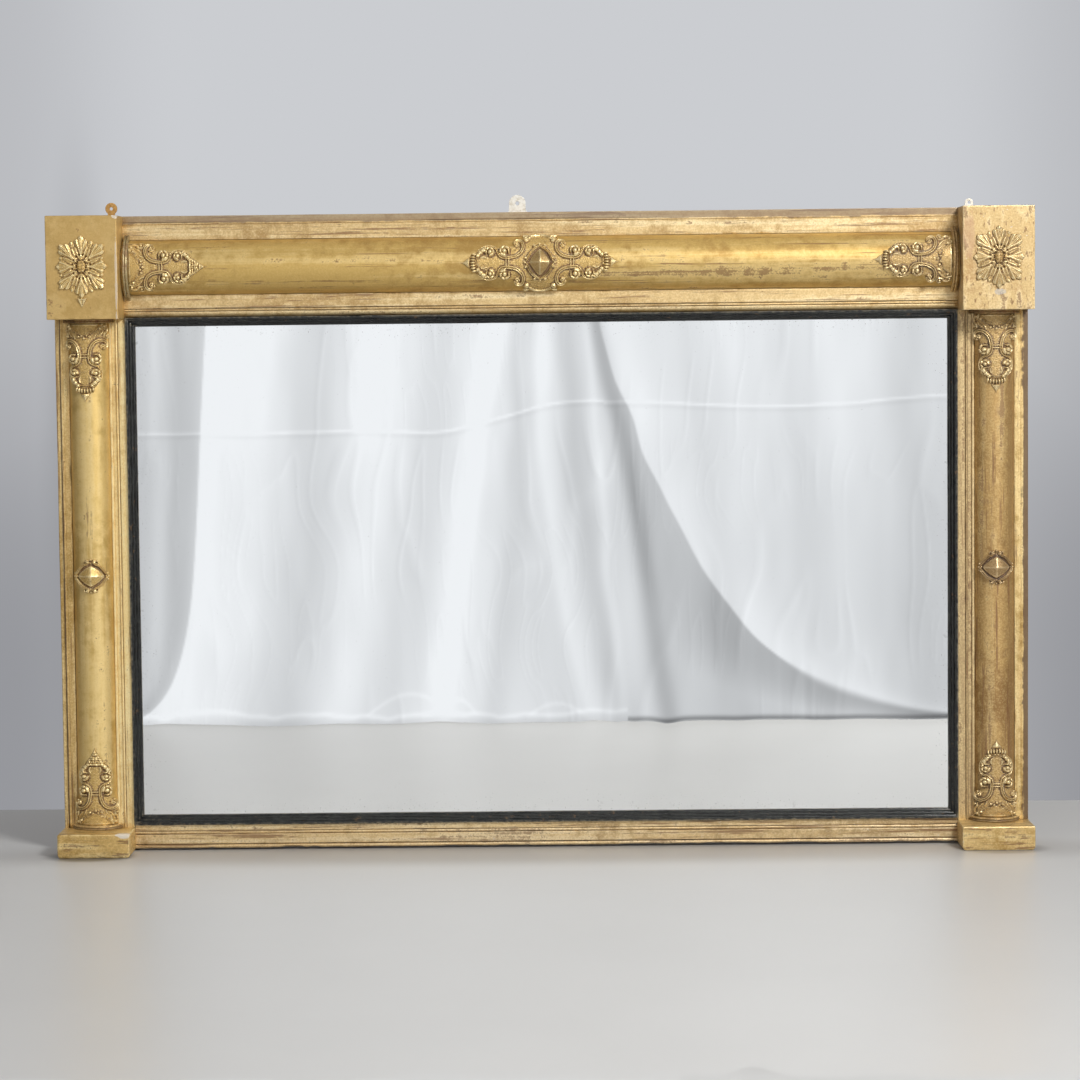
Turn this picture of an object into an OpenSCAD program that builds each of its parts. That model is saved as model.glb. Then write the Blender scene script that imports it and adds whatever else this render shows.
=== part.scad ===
// Giltwood overmantel mirror, in millimetres, standing on its plinths with its face toward -Y.
// The origin is under the middle of the whole: x across, y from front to back, z up from the shelf.

/* [Overall] */
// Width across the corner blocks
overall_w = 1350; // [1150:10:1600]
// Height from the shelf to the top of the frieze
overall_h = 885; // [780:5:1100]

/* [Carcass] */
// Thickness of the pine stiles and rails
carcass_t = 28; // [26:1:36]
// Width of each stile
stile_w = 98; // [95:1:108]
// Height of the frieze, from the slip's outer edge to the top
frieze_h = 140; // [136:1:156]
// Height of the bottom rail
base_h = 33.5; // [30:0.5:45]
// Gap between the bottom rail and the shelf
base_lift = 3; // [1:0.5:6]
// How far a stile's outer edge lies inside its corner block's
stile_inset = 1; // [0.5:0.5:4]
// Depth of the rebate that holds the backboards
board_rebate_t = 8; // [7.5:0.5:9]
// Width of that rebate
board_rebate_w = 10; // [8:1:12]

/* [Mouldings] */
// Thickness of the mouldings, from the carcass to their flat face
ground_t = 10; // [8:0.5:13]
// Radius of the fine beads
bead_r = 1.4; // [1:0.1:1.8]
// Radius of the bead in the middle of the base moulding
base_bead_r = 2.1; // [1.5:0.1:2.6]
// Radius of the bead along the foot of the base moulding
foot_bead_r = 2.7; // [2:0.1:3.4]
// Height of the flat above the base moulding's middle bead
base_fascia_h = 8.5; // [6:0.5:11]
// Depth of the set-back outer fillets
fillet_set = 3; // [2:0.5:5]
// Width of the set-back fillet along a stile's outer edge
edge_fillet_w = 7; // [5:0.5:8]
// Height of the set-back fillet along the top of the frieze
top_fillet_h = 9.5; // [7:0.5:13]
// Width of the cove beside a column, on its inner side
cove_w = 7.5; // [6:0.5:9]
// Height of the ovolo above the slip
ovolo_h = 7.5; // [6:0.5:9]
// Width of the grooves beside the beads
groove_w = 1.2; // [0.8:0.1:1.6]
// Clearance between a half column and the mouldings beside it
column_gap = 0.5; // [0.3:0.1:0.8]

/* [Columns] */
// Radius of the side columns
column_r = 29; // [27:0.5:30]
// Distance from a stile's outer edge to its column's axis
column_in = 47; // [46:0.5:49]
// Radius of the frieze column
frieze_column_r = 39; // [36:0.5:41]
// Height of the frieze column's axis above the slip's outer edge
frieze_column_up = 69; // [67:0.5:72]
// How far the reeded rings stand out from a column
ring_proud = 7.5; // [5:0.5:8.5]
// Width of a frieze collar along its column
collar_w = 7; // [5:0.5:9]
// Height of the reeded ring on which a side column stands
base_ring_h = 6; // [4:0.5:8]
// Height of the reeded ring under a corner block
neck_ring_h = 5; // [4:0.5:8]
// Gap between a frieze collar and its corner block
collar_gap = 3; // [1:0.5:5]

/* [Blocks] */
// Width of a corner block
block_w = 98; // [96:1:106]
// How far a corner block reaches below the frieze
block_drop = 1.5; // [0.5:0.5:6]
// How far a corner block stands out from the mouldings' flat face
block_proud = 58; // [50:1:70]
// Width of a plinth
plinth_w = 100; // [98:1:108]
// Height of a plinth
plinth_h = 33; // [29:0.5:36]
// How far a plinth stands out from the mouldings' flat face
plinth_proud = 62; // [52:1:68]
// Radius of a plinth's worn lower corners
plinth_corner_r = 5; // [2:0.5:8]

/* [Slip and glass] */
// Width of the black slip
slip_w = 12.4; // [11:0.2:16]
// How far the slip's outer edge stands out from the mouldings' flat face
slip_proud = 4; // [2:0.5:6]
// Width of the flat along the slip's outer edge
slip_flat_w = 2; // [1.5:0.5:3]
// Thickness of the slip at the sight edge
slip_lip_t = 3; // [2.5:0.5:4]
// Radius of each of the slip's three reeds
slip_reed_r = 2; // [1.6:0.1:2.2]
// Thickness of the glass
glass_t = 4; // [3:0.5:5]
// Clearance round the edge of the glass
glass_gap = 4; // [2:0.5:6]
// Depth from the carcass's face to the front of the glass
glass_set = 4; // [3:0.5:5]
// Length of a glue block behind the glass
glue_block_l = 55; // [40:5:80]
// Width of a glue block
glue_block_w = 13; // [11:0.5:16]

/* [Backboards] */
// Thickness of a backboard
board_t = 7; // [5:0.5:7]
// Gap between neighbouring backboards
board_gap = 1; // [0.5:0.5:3]

/* [Ornaments] */
// Clearance between an ornament and its column
ornament_gap = 0.3; // [0.3:0.1:0.5]
// Thickness of an ornament's ground
ornament_t = 1.6; // [1.2:0.1:2.4]
// Half the width of an ornament's scrolling bars
scroll_r = 2.2; // [1.8:0.1:2.6]
// How far those bars stand out from the column
scroll_t = 4.4; // [3.6:0.2:5.4]
// Length of the ornament at a column's end
ornament_l = 106; // [98:1:110]
// Half the width of a rosette
rosette_r = 35; // [31:1:38]
// Half the height of a rosette, and its reach along the diagonals
rosette_long = 43; // [38:1:45]
// How far a rosette's centre stands out from its block
rosette_t = 11; // [9:0.5:14]
// Height of a rosette's centre above the middle of its block's face
rosette_up = 1; // [-3:0.5:5]
// Height of a side boss above the shelf
boss_z = 388; // [340:1:420]

/* [Hanging plates] */
// Thickness of a hanging plate
plate_t = 2; // [1.5:0.5:2.5]
// Length of a hanging plate below the top of the frame
plate_drop = 46; // [42:1:50]
// Distance of the centre plate from the middle, to the left
plate_off = 31; // [0:1:60]
// Distance of the side plates from the sight edge of their stiles
side_plate_in = 21; // [16:1:26]
// Radius of the centre plate's wall hole
hanger_hole_r = 2.75; // [2:0.25:3.5]
// Radius of the side plates' wall holes
side_hanger_hole_r = 2.25; // [1.75:0.25:2.75]

/* [Screws] */
// Radius of a screw's shank
screw_r = 2; // [1.6:0.1:2.3]
// Radius of a screw's countersunk head
screw_head_r = 4; // [3.6:0.1:4.4]
// Length of a screw
screw_l = 22; // [17:1:23]
// Clearance round a screw
screw_gap = 0.2; // [0.1:0.05:0.3]

/* [Hidden] */
$fn = 96;
eps = 0.01;

// The colours of the finishes
gilding = [0.79, 0.65, 0.38];
bronze_gilding = [0.66, 0.53, 0.3];
pine = [0.76, 0.6, 0.42];
ebonised = [0.09, 0.09, 0.09];
silvered = [0.82, 0.85, 0.86];
white_paint = [0.9, 0.9, 0.86];
steel = [0.5, 0.5, 0.5];

// Where things lie across and up
half_w = overall_w / 2;
stile_x = half_w - stile_inset;
sight_x = stile_x - stile_w;
column_x = stile_x - column_in;
block_x = half_w - block_w;
block_h = frieze_h + block_drop;
plinth_x = half_w - plinth_w;
sight_z0 = base_lift + base_h;
sight_z1 = overall_h - frieze_h;
sight_mid_z = (sight_z0 + sight_z1) / 2;
block_z = overall_h - block_h;
frieze_column_z = sight_z1 + frieze_column_up;
collar_x = block_x - collar_gap - collar_w;

// How far things lie forward of the back
ground_f = carcass_t + ground_t;
block_f = ground_f + block_proud;
plinth_f = ground_f + plinth_proud;
glass_f = carcass_t - glass_set;
lap_t = carcass_t / 2;
depth = max(block_f + rosette_t, plinth_f);

// The rebate at the back, and the six boards in it
board_n = 6;
board_clearance = 0.5;
rebate_x = sight_x + board_rebate_w;
rebate_z0 = sight_z0 - board_rebate_w;
rebate_z1 = sight_z1 + board_rebate_w;
board_w = (2 * (rebate_x - board_clearance) - (board_n - 1) * board_gap) / board_n;

// Screws: two columns in each lapped corner, and two in each hanging plate
lap_screw_x = [stile_x - 22, stile_x - 76];
lap_screw_top_z = [sight_z1 + 22, sight_z1 + 72];
lap_screw_foot_z = base_lift + (base_h - board_rebate_w) / 2;
plate_screw_down = [12, plate_drop - 10];
side_plate_x = sight_x + side_plate_in;

// Sizes of the hanging plates: half width below the top, half width of the neck, radius and height of the eye
centre_plate = [17, 11.5, 11.5, 13.5];
left_plate = [9, 5, 8.3, 12];
right_plate = [9, 5.7, 5.7, 7.8];
plate_clearance = 0.2;

// ---------- Placing ----------

// Everything is drawn with its back at y = 0 and then centred from front to back.
module placed() translate([0, depth / 2, 0]) children();

// Turns what is drawn for the right side to the left.
module side(dir) {
  if (dir < 0) mirror([1, 0, 0]) children();
  else children();
}

// A box given by what it spans across, forward of the back, and up
module span(x, f, z)
  translate([x[0], -f[1], z[0]]) cube([x[1] - x[0], f[1] - f[0], z[1] - z[0]]);

// An upright stick whose section is drawn as (outward, forward), from the carcass's face at x
module upright(x, z0, z1)
  translate([x, -carcass_t, z0]) mirror([0, 1, 0]) linear_extrude(z1 - z0) children();

// A stick that lies along x, whose section is drawn as (upward, forward), from the carcass's face at z
module lying(x0, x1, z)
  translate([x0, -carcass_t, z]) rotate([180, -90, 0]) linear_extrude(x1 - x0) children();

// The same with its section drawn as (downward, forward)
module lying_down(x0, x1, z) lying(x0, x1, z) mirror([1, 0]) children();

// ---------- Sections of the sticks ----------

module half_round_section(r) intersection() {
  circle(r);
  translate([-r, 0]) square([2 * r, r]);
}

// Beside a column, out to the stile's outer edge: a flat, a bead, and a set-back fillet with a soft edge
module outer_section() {
  w = column_in - column_r - column_gap;
  step_a = w - edge_fillet_w;
  edge_r = fillet_set / 2;
  low = ground_t - fillet_set;
  difference() {
    square([step_a, ground_t]);
    translate([step_a - 2 * bead_r - groove_w / 2, ground_t]) circle(groove_w / 2);
  }
  translate([step_a - bead_r, 0]) square([bead_r, ground_t - bead_r]);
  square([w - edge_r, low]);
  square([w, low - edge_r]);
  translate([w - edge_r, low - edge_r]) circle(edge_r);
}

// Beside a column, in to the sight edge: a cove, a bead, a groove and a flat
module inner_section() {
  w = stile_w - column_in - column_r - column_gap;
  arris_w = 1.5;
  flat_a = cove_w + 2 * bead_r + groove_w;
  difference() {
    square([cove_w, ground_t]);
    translate([cove_w, ground_t]) circle(cove_w - arris_w);
  }
  square([w, ground_t - cove_w + arris_w]);
  translate([cove_w, 0]) square([2 * bead_r, ground_t - bead_r]);
  translate([cove_w + bead_r, ground_t - bead_r]) circle(bead_r);
  square([flat_a, ground_t - 2 * bead_r]);
  translate([flat_a, 0]) square([w - flat_a, ground_t]);
}

// Above the frieze column: a flat, a bead and a set-back fillet
module frieze_upper_section() {
  w = overall_h - frieze_column_z - frieze_column_r - column_gap;
  step_a = w - top_fillet_h;
  square([step_a - bead_r, ground_t]);
  square([w, ground_t - fillet_set]);
  translate([step_a - bead_r, ground_t - fillet_set]) square([bead_r, fillet_set]);
  translate([step_a - bead_r, ground_t]) circle(bead_r);
}

// Below the frieze column: a flat, a bead between two grooves, and an ovolo down to the slip
module frieze_lower_section() {
  w = frieze_column_up - frieze_column_r - column_gap;
  flat_w = w - ovolo_h - 2 * groove_w - 2 * bead_r;
  bead_a = flat_w + groove_w + bead_r;
  square([flat_w, ground_t]);
  square([w - ovolo_h, ground_t - 2 * bead_r]);
  translate([bead_a - bead_r, 0]) square([2 * bead_r, ground_t - bead_r]);
  translate([bead_a, ground_t - bead_r]) circle(bead_r);
  intersection() {
    translate([w - ovolo_h, 0]) square([ovolo_h, ground_t]);
    translate([w - ovolo_h, ground_t - ovolo_h]) union() {
      circle(ovolo_h);
      translate([0, -ground_t]) square([ovolo_h, ground_t]);
    }
  }
}

// The base moulding, downward from the slip: a flat, a bead, a flat, a groove and a foot bead
module base_section() {
  bead_a = base_fascia_h + groove_w / 2 + base_bead_r;
  flat_a = bead_a + base_bead_r + groove_w / 2;
  foot_a = base_h - foot_bead_r;
  square([base_fascia_h, ground_t]);
  square([base_h, ground_t - 2 * base_bead_r]);
  translate([bead_a, ground_t - base_bead_r]) circle(base_bead_r);
  translate([bead_a - base_bead_r, 0]) square([2 * base_bead_r, ground_t - base_bead_r]);
  translate([flat_a, 0]) square([foot_a - foot_bead_r - groove_w - flat_a, ground_t]);
  translate([foot_a - foot_bead_r, 0]) square([2 * foot_bead_r, ground_t - foot_bead_r]);
  translate([foot_a, ground_t - foot_bead_r]) circle(foot_bead_r);
}

// The slip, inward from its outer edge: a flat and three reeds that step down to the glass
module slip_section() {
  back = -glass_set;
  front = ground_t + slip_proud;
  top = [slip_flat_w, front];
  lip = [slip_w, back + slip_lip_t];
  slope = lip - top;
  inward = [slope[1], -slope[0]] / norm(slope);
  polygon([[0, back], [slip_w, back], lip, top, [0, front]]);
  for (i = [0:2])
    translate(top + slope * (2 * i + 1) / 6 + inward * slip_reed_r * 0.4) circle(slip_reed_r);
}

// ---------- Carcass ----------

module screw() rotate([90, 0, 0]) {
  cylinder(h = screw_head_r - screw_r, r1 = screw_head_r, r2 = screw_r);
  cylinder(h = screw_l, r = screw_r);
}

module screw_hole() translate([0, eps, 0]) rotate([90, 0, 0]) {
  cylinder(h = screw_head_r - screw_r + eps, r1 = screw_head_r + screw_gap + eps, r2 = screw_r + screw_gap);
  cylinder(h = screw_l + screw_gap, r = screw_r + screw_gap);
}

// The screws of a lapped corner on the right
module at_lap_screws() {
  for (x = lap_screw_x) {
    for (z = lap_screw_top_z) translate([x, 0, z]) children();
    translate([x, 0, lap_screw_foot_z]) children();
  }
}

// The two screws of a hanging plate whose middle is at x
module at_plate_screws(x)
  for (down = plate_screw_down) translate([x, 0, overall_h - down]) children();

// The shallow housing of a hanging plate in the back
module plate_housing(x, sizes)
  span([x - sizes[0] - plate_clearance, x + sizes[0] + plate_clearance], [-eps, plate_t],
    [overall_h - plate_drop - plate_clearance, overall_h + eps]);

module board_rebate() span([-rebate_x, rebate_x], [-eps, board_rebate_t], [rebate_z0, rebate_z1]);

// A stile, lapped behind both rails
module stile(side_plate) difference() {
  span([sight_x, stile_x], [0, carcass_t], [0, overall_h]);
  span([sight_x - eps, stile_x + eps], [lap_t, carcass_t + eps], [sight_z1, overall_h + eps]);
  span([sight_x - eps, stile_x + eps], [lap_t, carcass_t + eps], [-eps, sight_z0]);
  board_rebate();
  plate_housing(side_plate_x, side_plate);
  at_lap_screws() screw_hole();
  at_plate_screws(side_plate_x) screw_hole();
}

// A rail that runs between the stiles and is lapped in front of them
module rail(z0, z1) {
  span([-sight_x, sight_x], [0, carcass_t], [z0, z1]);
  span([-stile_x, stile_x], [lap_t, carcass_t], [z0, z1]);
}

module left_stile() color(pine) placed() side(-1) stile(left_plate);
module right_stile() color(pine) placed() side(1) stile(right_plate);

module top_rail() color(pine) placed() difference() {
  rail(sight_z1, overall_h);
  board_rebate();
  plate_housing(-plate_off, centre_plate);
  at_plate_screws(-plate_off) screw_hole();
  for (dir = [-1, 1]) side(dir) {
    at_lap_screws() screw_hole();
    at_plate_screws(side_plate_x) screw_hole();
  }
}

module bottom_rail() color(pine) placed() difference() {
  rail(base_lift, sight_z0);
  board_rebate();
  for (dir = [-1, 1]) side(dir) at_lap_screws() screw_hole();
}

module lap_screws() color(steel) placed()
  for (dir = [-1, 1]) side(dir) at_lap_screws() screw();

// ---------- Mouldings and columns ----------

module outer_moulding()
  upright(column_x + column_r + column_gap, plinth_h, block_z) outer_section();

module inner_moulding()
  upright(column_x - column_r - column_gap, plinth_h, block_z) mirror([1, 0]) inner_section();

module column()
  upright(column_x, plinth_h + base_ring_h, block_z - neck_ring_h) half_round_section(column_r);

module left_outer_moulding() color(gilding) placed() side(-1) outer_moulding();
module right_outer_moulding() color(gilding) placed() side(1) outer_moulding();
module left_inner_moulding() color(gilding) placed() side(-1) inner_moulding();
module right_inner_moulding() color(gilding) placed() side(1) inner_moulding();
module left_column() color(gilding) placed() side(-1) column();
module right_column() color(gilding) placed() side(1) column();

module frieze_upper_moulding() color(gilding) placed()
  lying(-block_x, block_x, frieze_column_z + frieze_column_r + column_gap) frieze_upper_section();

module frieze_lower_moulding() color(gilding) placed()
  lying_down(-block_x, block_x, frieze_column_z - frieze_column_r - column_gap) frieze_lower_section();

module frieze_column() color(gilding) placed()
  lying(-block_x, block_x, frieze_column_z) half_round_section(frieze_column_r);

module base_moulding() color(gilding) placed()
  lying_down(-plinth_x, plinth_x, sight_z0) base_section();

// ---------- Reeded rings ----------

// Two reeds round a ring h high that stands out to r: drawn as (radius, height)
module reeds_section(r, h) {
  reed_r = h / 4;
  square([r - reed_r, h]);
  for (k = [1, 3]) translate([r - reed_r, k * reed_r]) circle(reed_r);
}

// The front half of a turning about the z axis
module front_turning() rotate([0, 0, 180]) rotate_extrude(angle = 180) children();

// A ring that carries or caps a side column: beside the column it starts at the mouldings' flat face
module column_ring(h) difference() {
  front_turning() reeds_section(column_r + ring_proud, h);
  for (dir = [-1, 1]) side(dir)
    translate([column_r, -ground_t, -eps]) cube([ring_proud + eps, ground_t + eps, h + 2 * eps]);
}

module neck_ring() translate([column_x, -carcass_t, block_z - neck_ring_h]) column_ring(neck_ring_h);
module base_ring() translate([column_x, -carcass_t, plinth_h]) column_ring(base_ring_h);

module left_neck_ring() color(gilding) placed() side(-1) neck_ring();
module right_neck_ring() color(gilding) placed() side(1) neck_ring();
module left_base_ring() color(gilding) placed() side(-1) base_ring();
module right_base_ring() color(gilding) placed() side(1) base_ring();

// A crescent that stands on the frieze's flats and straddles the frieze column's end
module frieze_collar() difference() {
  outer_r = frieze_column_r + ring_proud;
  translate([collar_x, -carcass_t, frieze_column_z])
    rotate([0, 90, 0]) front_turning() difference() {
      reeds_section(outer_r, collar_w);
      translate([-eps, -eps]) square([frieze_column_r + ornament_gap + eps, collar_w + 2 * eps]);
    }
  span([collar_x - eps, block_x], [0, ground_f],
    [frieze_column_z - outer_r - eps, frieze_column_z + outer_r + eps]);
}

module left_frieze_collar() color(bronze_gilding) placed() side(-1) frieze_collar();
module right_frieze_collar() color(gilding) placed() side(1) frieze_collar();

// ---------- Blocks and plinths ----------

module corner_block() span([block_x, half_w], [carcass_t, block_f], [block_z, overall_h]);

// A plinth, with its two lower corners worn round
module plinth() translate([plinth_x, -carcass_t, 0]) rotate([90, 0, 0])
  linear_extrude(plinth_f - carcass_t) {
    translate([0, plinth_corner_r]) square([plinth_w, plinth_h - plinth_corner_r]);
    translate([plinth_corner_r, 0]) square([plinth_w - 2 * plinth_corner_r, plinth_h]);
    for (x = [plinth_corner_r, plinth_w - plinth_corner_r])
      translate([x, plinth_corner_r]) circle(plinth_corner_r);
  }

module left_corner_block() color(gilding) placed() side(-1) corner_block();
module right_corner_block() color(gilding) placed() side(1) corner_block();
module left_plinth() color(gilding) placed() side(-1) plinth();
module right_plinth() color(gilding) placed() side(1) plinth();

// ---------- Slip, glass and back ----------

// A mitred stick of slip, drawn along x with its outer edge on the x axis
module slip_stick(l) difference() {
  lying(-l / 2, l / 2, 0) slip_section();
  front = ground_f + slip_proud + eps;
  for (dir = [-1, 1]) side(dir) translate([l / 2, 0, 0]) rotate([0, -45, 0])
    translate([0, -front, -slip_w]) cube([2 * slip_w, front + eps, 3 * slip_w]);
}

module slip_bottom() color(ebonised) placed() translate([0, 0, sight_z0]) slip_stick(2 * sight_x);
module slip_top() color(ebonised) placed()
  translate([0, 0, sight_z1]) rotate([0, 180, 0]) slip_stick(2 * sight_x);
module slip_left() color(ebonised) placed()
  translate([-sight_x, 0, sight_mid_z]) rotate([0, 90, 0]) slip_stick(sight_z1 - sight_z0);
module slip_right() color(ebonised) placed()
  translate([sight_x, 0, sight_mid_z]) rotate([0, -90, 0]) slip_stick(sight_z1 - sight_z0);

module mirror_plate() color(silvered) placed()
  span([glass_gap - sight_x, sight_x - glass_gap], [glass_f - glass_t, glass_f],
    [sight_z0 + glass_gap, sight_z1 - glass_gap]);

// Section of a glue block, inward from the carcass's edge: its front lies on the back of the glass
module glue_block_section() {
  front = -glass_set - glass_t;
  back = board_rebate_t - carcass_t + 1;
  polygon([[0, front], [glue_block_w, front], [glue_block_w, front - 2.5],
    [glue_block_w / 3, back], [0, back]]);
}

module glue_blocks() color(pine) placed() {
  for (share = [-0.38, -0.13, 0.13, 0.38]) {
    x = share * 2 * sight_x;
    lying(x - glue_block_l / 2, x + glue_block_l / 2, sight_z0) glue_block_section();
    lying_down(x - glue_block_l / 2, x + glue_block_l / 2, sight_z1) glue_block_section();
  }
  for (dir = [-1, 1], share = [-0.3, 0, 0.3]) side(dir) {
    z = sight_mid_z + share * (sight_z1 - sight_z0);
    upright(sight_x, z - glue_block_l / 2, z + glue_block_l / 2) mirror([1, 0]) glue_block_section();
  }
}

// Backboard i, counted from the left
module backboard(i) color(pine) placed() {
  x = board_clearance - rebate_x + (i - 1) * (board_w + board_gap);
  span([x, x + board_w], [board_rebate_t - board_t, board_rebate_t],
    [rebate_z0 + board_clearance, rebate_z1 - board_clearance]);
}

// ---------- Hanging plates ----------

// A plate let into the back, with its eye above the top of the frame
module hanging_plate(x, sizes, hole_r) {
  body = sizes[0];
  neck = sizes[1];
  eye_r = sizes[2];
  eye_z = sizes[3];
  flare = max(body - neck, 1);
  translate([x, 0, overall_h]) difference() {
    rotate([90, 0, 0]) linear_extrude(plate_t) {
      translate([-body, -plate_drop]) square([2 * body, plate_drop]);
      translate([-neck, 0]) square([2 * neck, eye_z]);
      translate([0, eye_z]) circle(eye_r);
      difference() {
        translate([-neck - flare, 0]) square([2 * (neck + flare), flare]);
        for (dir = [-1, 1]) translate([dir * (neck + flare), flare]) circle(flare);
      }
    }
    translate([0, eps, eye_z]) rotate([90, 0, 0]) cylinder(h = plate_t + 2 * eps, r = hole_r);
    for (down = plate_screw_down) translate([0, 0, -down]) screw_hole();
  }
}

module hanging_plate_centre() color(white_paint) placed()
  hanging_plate(-plate_off, centre_plate, hanger_hole_r);
module hanging_plate_left() color(gilding) placed()
  hanging_plate(-side_plate_x, left_plate, side_hanger_hole_r);
module hanging_plate_right() color(white_paint) placed()
  hanging_plate(side_plate_x, right_plate, side_hanger_hole_r);

module plate_screws() color(steel) placed()
  for (x = [-side_plate_x, -plate_off, side_plate_x]) at_plate_screws(x) screw();

// ---------- Composition ornaments ----------
// They are designed flat, as [along, round], for an end ornament 106 long, then drawn out to their
// real length and wrapped on a column that lies along x with its crown toward -Y.
tip_s = 106;
drawn_out = ornament_l / tip_s;

function degrees_round(r, t) = t / r * 180 / PI;

function wrapped(r, p) = let (a = degrees_round(r, p[1]), q = r + ornament_gap + p[2])
  [p[0], -q * cos(a), q * sin(a)];

// Puts what is drawn with its face toward -Y at a flat point, on the middle of the ground's thickness
module seated(r, s, t) rotate([-degrees_round(r, t * drawn_out), 0, 0])
  translate([s * drawn_out, -r - ornament_gap - ornament_t / 2, 0]) scale(drawn_out) children();

// A closed skin over rings that all have the same number of points
module skin(rings) {
  n = len(rings[0]);
  m = len(rings);
  polyhedron(
    points = [for (ring = rings) each ring],
    faces = [
      for (i = [0:m - 2], j = [0:n - 1]) let (a = i * n + j, b = i * n + (j + 1) % n)
        each [[a, b, b + n], [a, b + n, a + n]],
      for (j = [1:n - 2]) [0, j + 1, j],
      for (j = [1:n - 2]) (m - 1) * n * [1, 1, 1] + [0, j, j + 1]
    ]);
}

// A ridged bar, flat underneath, that follows flat points over the column and thins toward its ends
module bar(r, flat_path, half_w) {
  path = flat_path * drawn_out;
  last = len(path) - 1;
  skin([for (i = [0:last]) let (
      d = path[min(i + 1, last)] - path[max(i - 1, 0)],
      across = [-d[1], d[0]] / norm(d),
      w = half_w * (0.6 + 0.4 * min(1, 3 * min(i, last - i) / last)))
    [for (o = [[-1.1, 0], [0, 1], [1.1, 0]])
      wrapped(r, [path[i][0] + across[0] * o[0] * w, path[i][1] + across[1] * o[0] * w,
        ornament_t / 2 + o[1] * (scroll_t - ornament_t / 2) * (0.5 + w / half_w / 2)])]]);
}

// Points of a C scroll: its ends curl about a and b, and its back bulges by mid_r toward the heading back
function c_scroll(a, b, end_r, mid_r, back, sweep, steps) = [for (i = [0:steps]) let (
    u = i / steps,
    w = back + (u - 0.5) * sweep,
    rr = end_r + (mid_r - end_r) * pow(sin(180 * u), 1.4))
  a + (b - a) * u + rr * [cos(w), sin(w)]];

// The same path on the other side of the ornament's axis
function mirrored(path) = [for (i = [len(path) - 1:-1:0]) [path[i][0], -path[i][1]]];

// A small bud, t high
module bud(radius, t) hull() {
  rotate([90, 0, 0]) cylinder(h = t * 0.6, r = radius, $fn = 6);
  rotate([90, 0, 0]) cylinder(h = t, r = radius * 0.45, $fn = 4);
}

// The thin ground of an ornament: a flat outline, mirrored across its axis and laid round the column
module ornament_ground(r, flat_outline) intersection() {
  outline = flat_outline * drawn_out;
  tube_l = 3 * ornament_l;
  rotate([90, 0, 0]) linear_extrude(2 * r)
    polygon([
      for (p = outline) [p[0], r * sin(degrees_round(r, p[1]))],
      for (i = [len(outline) - 1:-1:0]) [outline[i][0], -r * sin(degrees_round(r, outline[i][1]))]
    ]);
  rotate([0, 90, 0]) difference() {
    cylinder(h = tube_l, r = r + ornament_gap + ornament_t, center = true, $fn = 36);
    cylinder(h = tube_l + 1, r = r + ornament_gap, center = true, $fn = 36);
  }
}

// Where the parts of a spray lie along its column, from the ornament's heel
mount_gap = 1;
tie_s = 44;
gadroon_s = 91;

// The spray that ends every long ornament: two pairs of scrolls, a tie, a gadroon and a pointed tip
module spray(r) {
  large = c_scroll([32, 28], [46, 16.5], 2.5, 14, 222, 470, 11);
  small = c_scroll([67, 15], [84, 9], 2, 9, 75, -380, 7);
  for (path = [large, mirrored(large)]) bar(r, path, scroll_r);
  for (path = [small, mirrored(small)]) bar(r, path, scroll_r);
  for (dir = [-1, 1]) {
    seated(r, 48, dir * 16.5) bud(6.5, 5.7);
    seated(r, 32, dir * 28) bud(3, 4.6);
    seated(r, 67, dir * 15) bud(4.2, 5.1);
  }
  seated(r, tie_s, 0) translate([-1.6, -3.5, -9]) cube([3.2, 3.5, 18]);
  seated(r, gadroon_s, 0) hull() {
    for (z = [-9, 9]) translate([0, 0, z]) bud(3.4, 3.7);
    bud(4.4, 5.7);
  }
  seated(r, tip_s - 9, 0) hull() {
    translate([-3, -1, -6]) cube([1, 1, 12]);
    translate([2, -4, -0.5]) cube([1, 1, 1]);
    translate([8.5, -1, -0.5]) cube([0.5, 1, 1]);
  }
}

// Half of a spray's outline, from its heel to its tip
spray_ground = [[22, 32], [30, 36], [40, 31], [46, 24], [56, 22], [63, 21], [74, 22], [86, 16], [92, 11],
  [tip_s, 1]];

// An ornament that springs from a column's end, with a swag of leaves at its heel
module end_mount(r) {
  spray(r);
  ornament_ground(r, concat([[0, 34], [6, 34], [14, 29]], spray_ground));
  for (dir = [-1, 1]) {
    seated(r, 7, dir * 26) bud(5.5, 4.2);
    seated(r, 9, dir * 12) bud(4.4, 3.8);
  }
  seated(r, 17, 0) bud(4.6, 5.2);
}

// The faceted boss in its lobed frame
module cartouche(r) {
  seated(r, 0, 0) hull() {
    translate([-12, -1, -7]) cube([24, 1, 14]);
    translate([-7, -1, -15]) cube([14, 1, 30]);
    translate([-0.5, -9.5, -2]) cube([1, 1, 4]);
  }
  for (x = [-1, 1], t = [-1, 1])
    bar(r, [for (u = [0:0.25:1]) let (wave = 1.5 * sin(360 * u))
      [x * (5 + 13 * u + wave), t * (19 - 13 * u + wave)]], scroll_r * 0.8);
  for (dir = [-1, 1]) {
    seated(r, 0, dir * 20) bud(4, 4);
    seated(r, dir * 19.5, 0) bud(4, 4);
  }
}

// Half of the cartouche's outline
cartouche_ground = [[-24, 1], [-23, 7], [-17, 10], [-13, 17], [-8, 24], [8, 24], [13, 17], [17, 10], [23, 7],
  [24, 1]];

module side_boss() {
  cartouche(column_r);
  ornament_ground(column_r, cartouche_ground);
}

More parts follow.
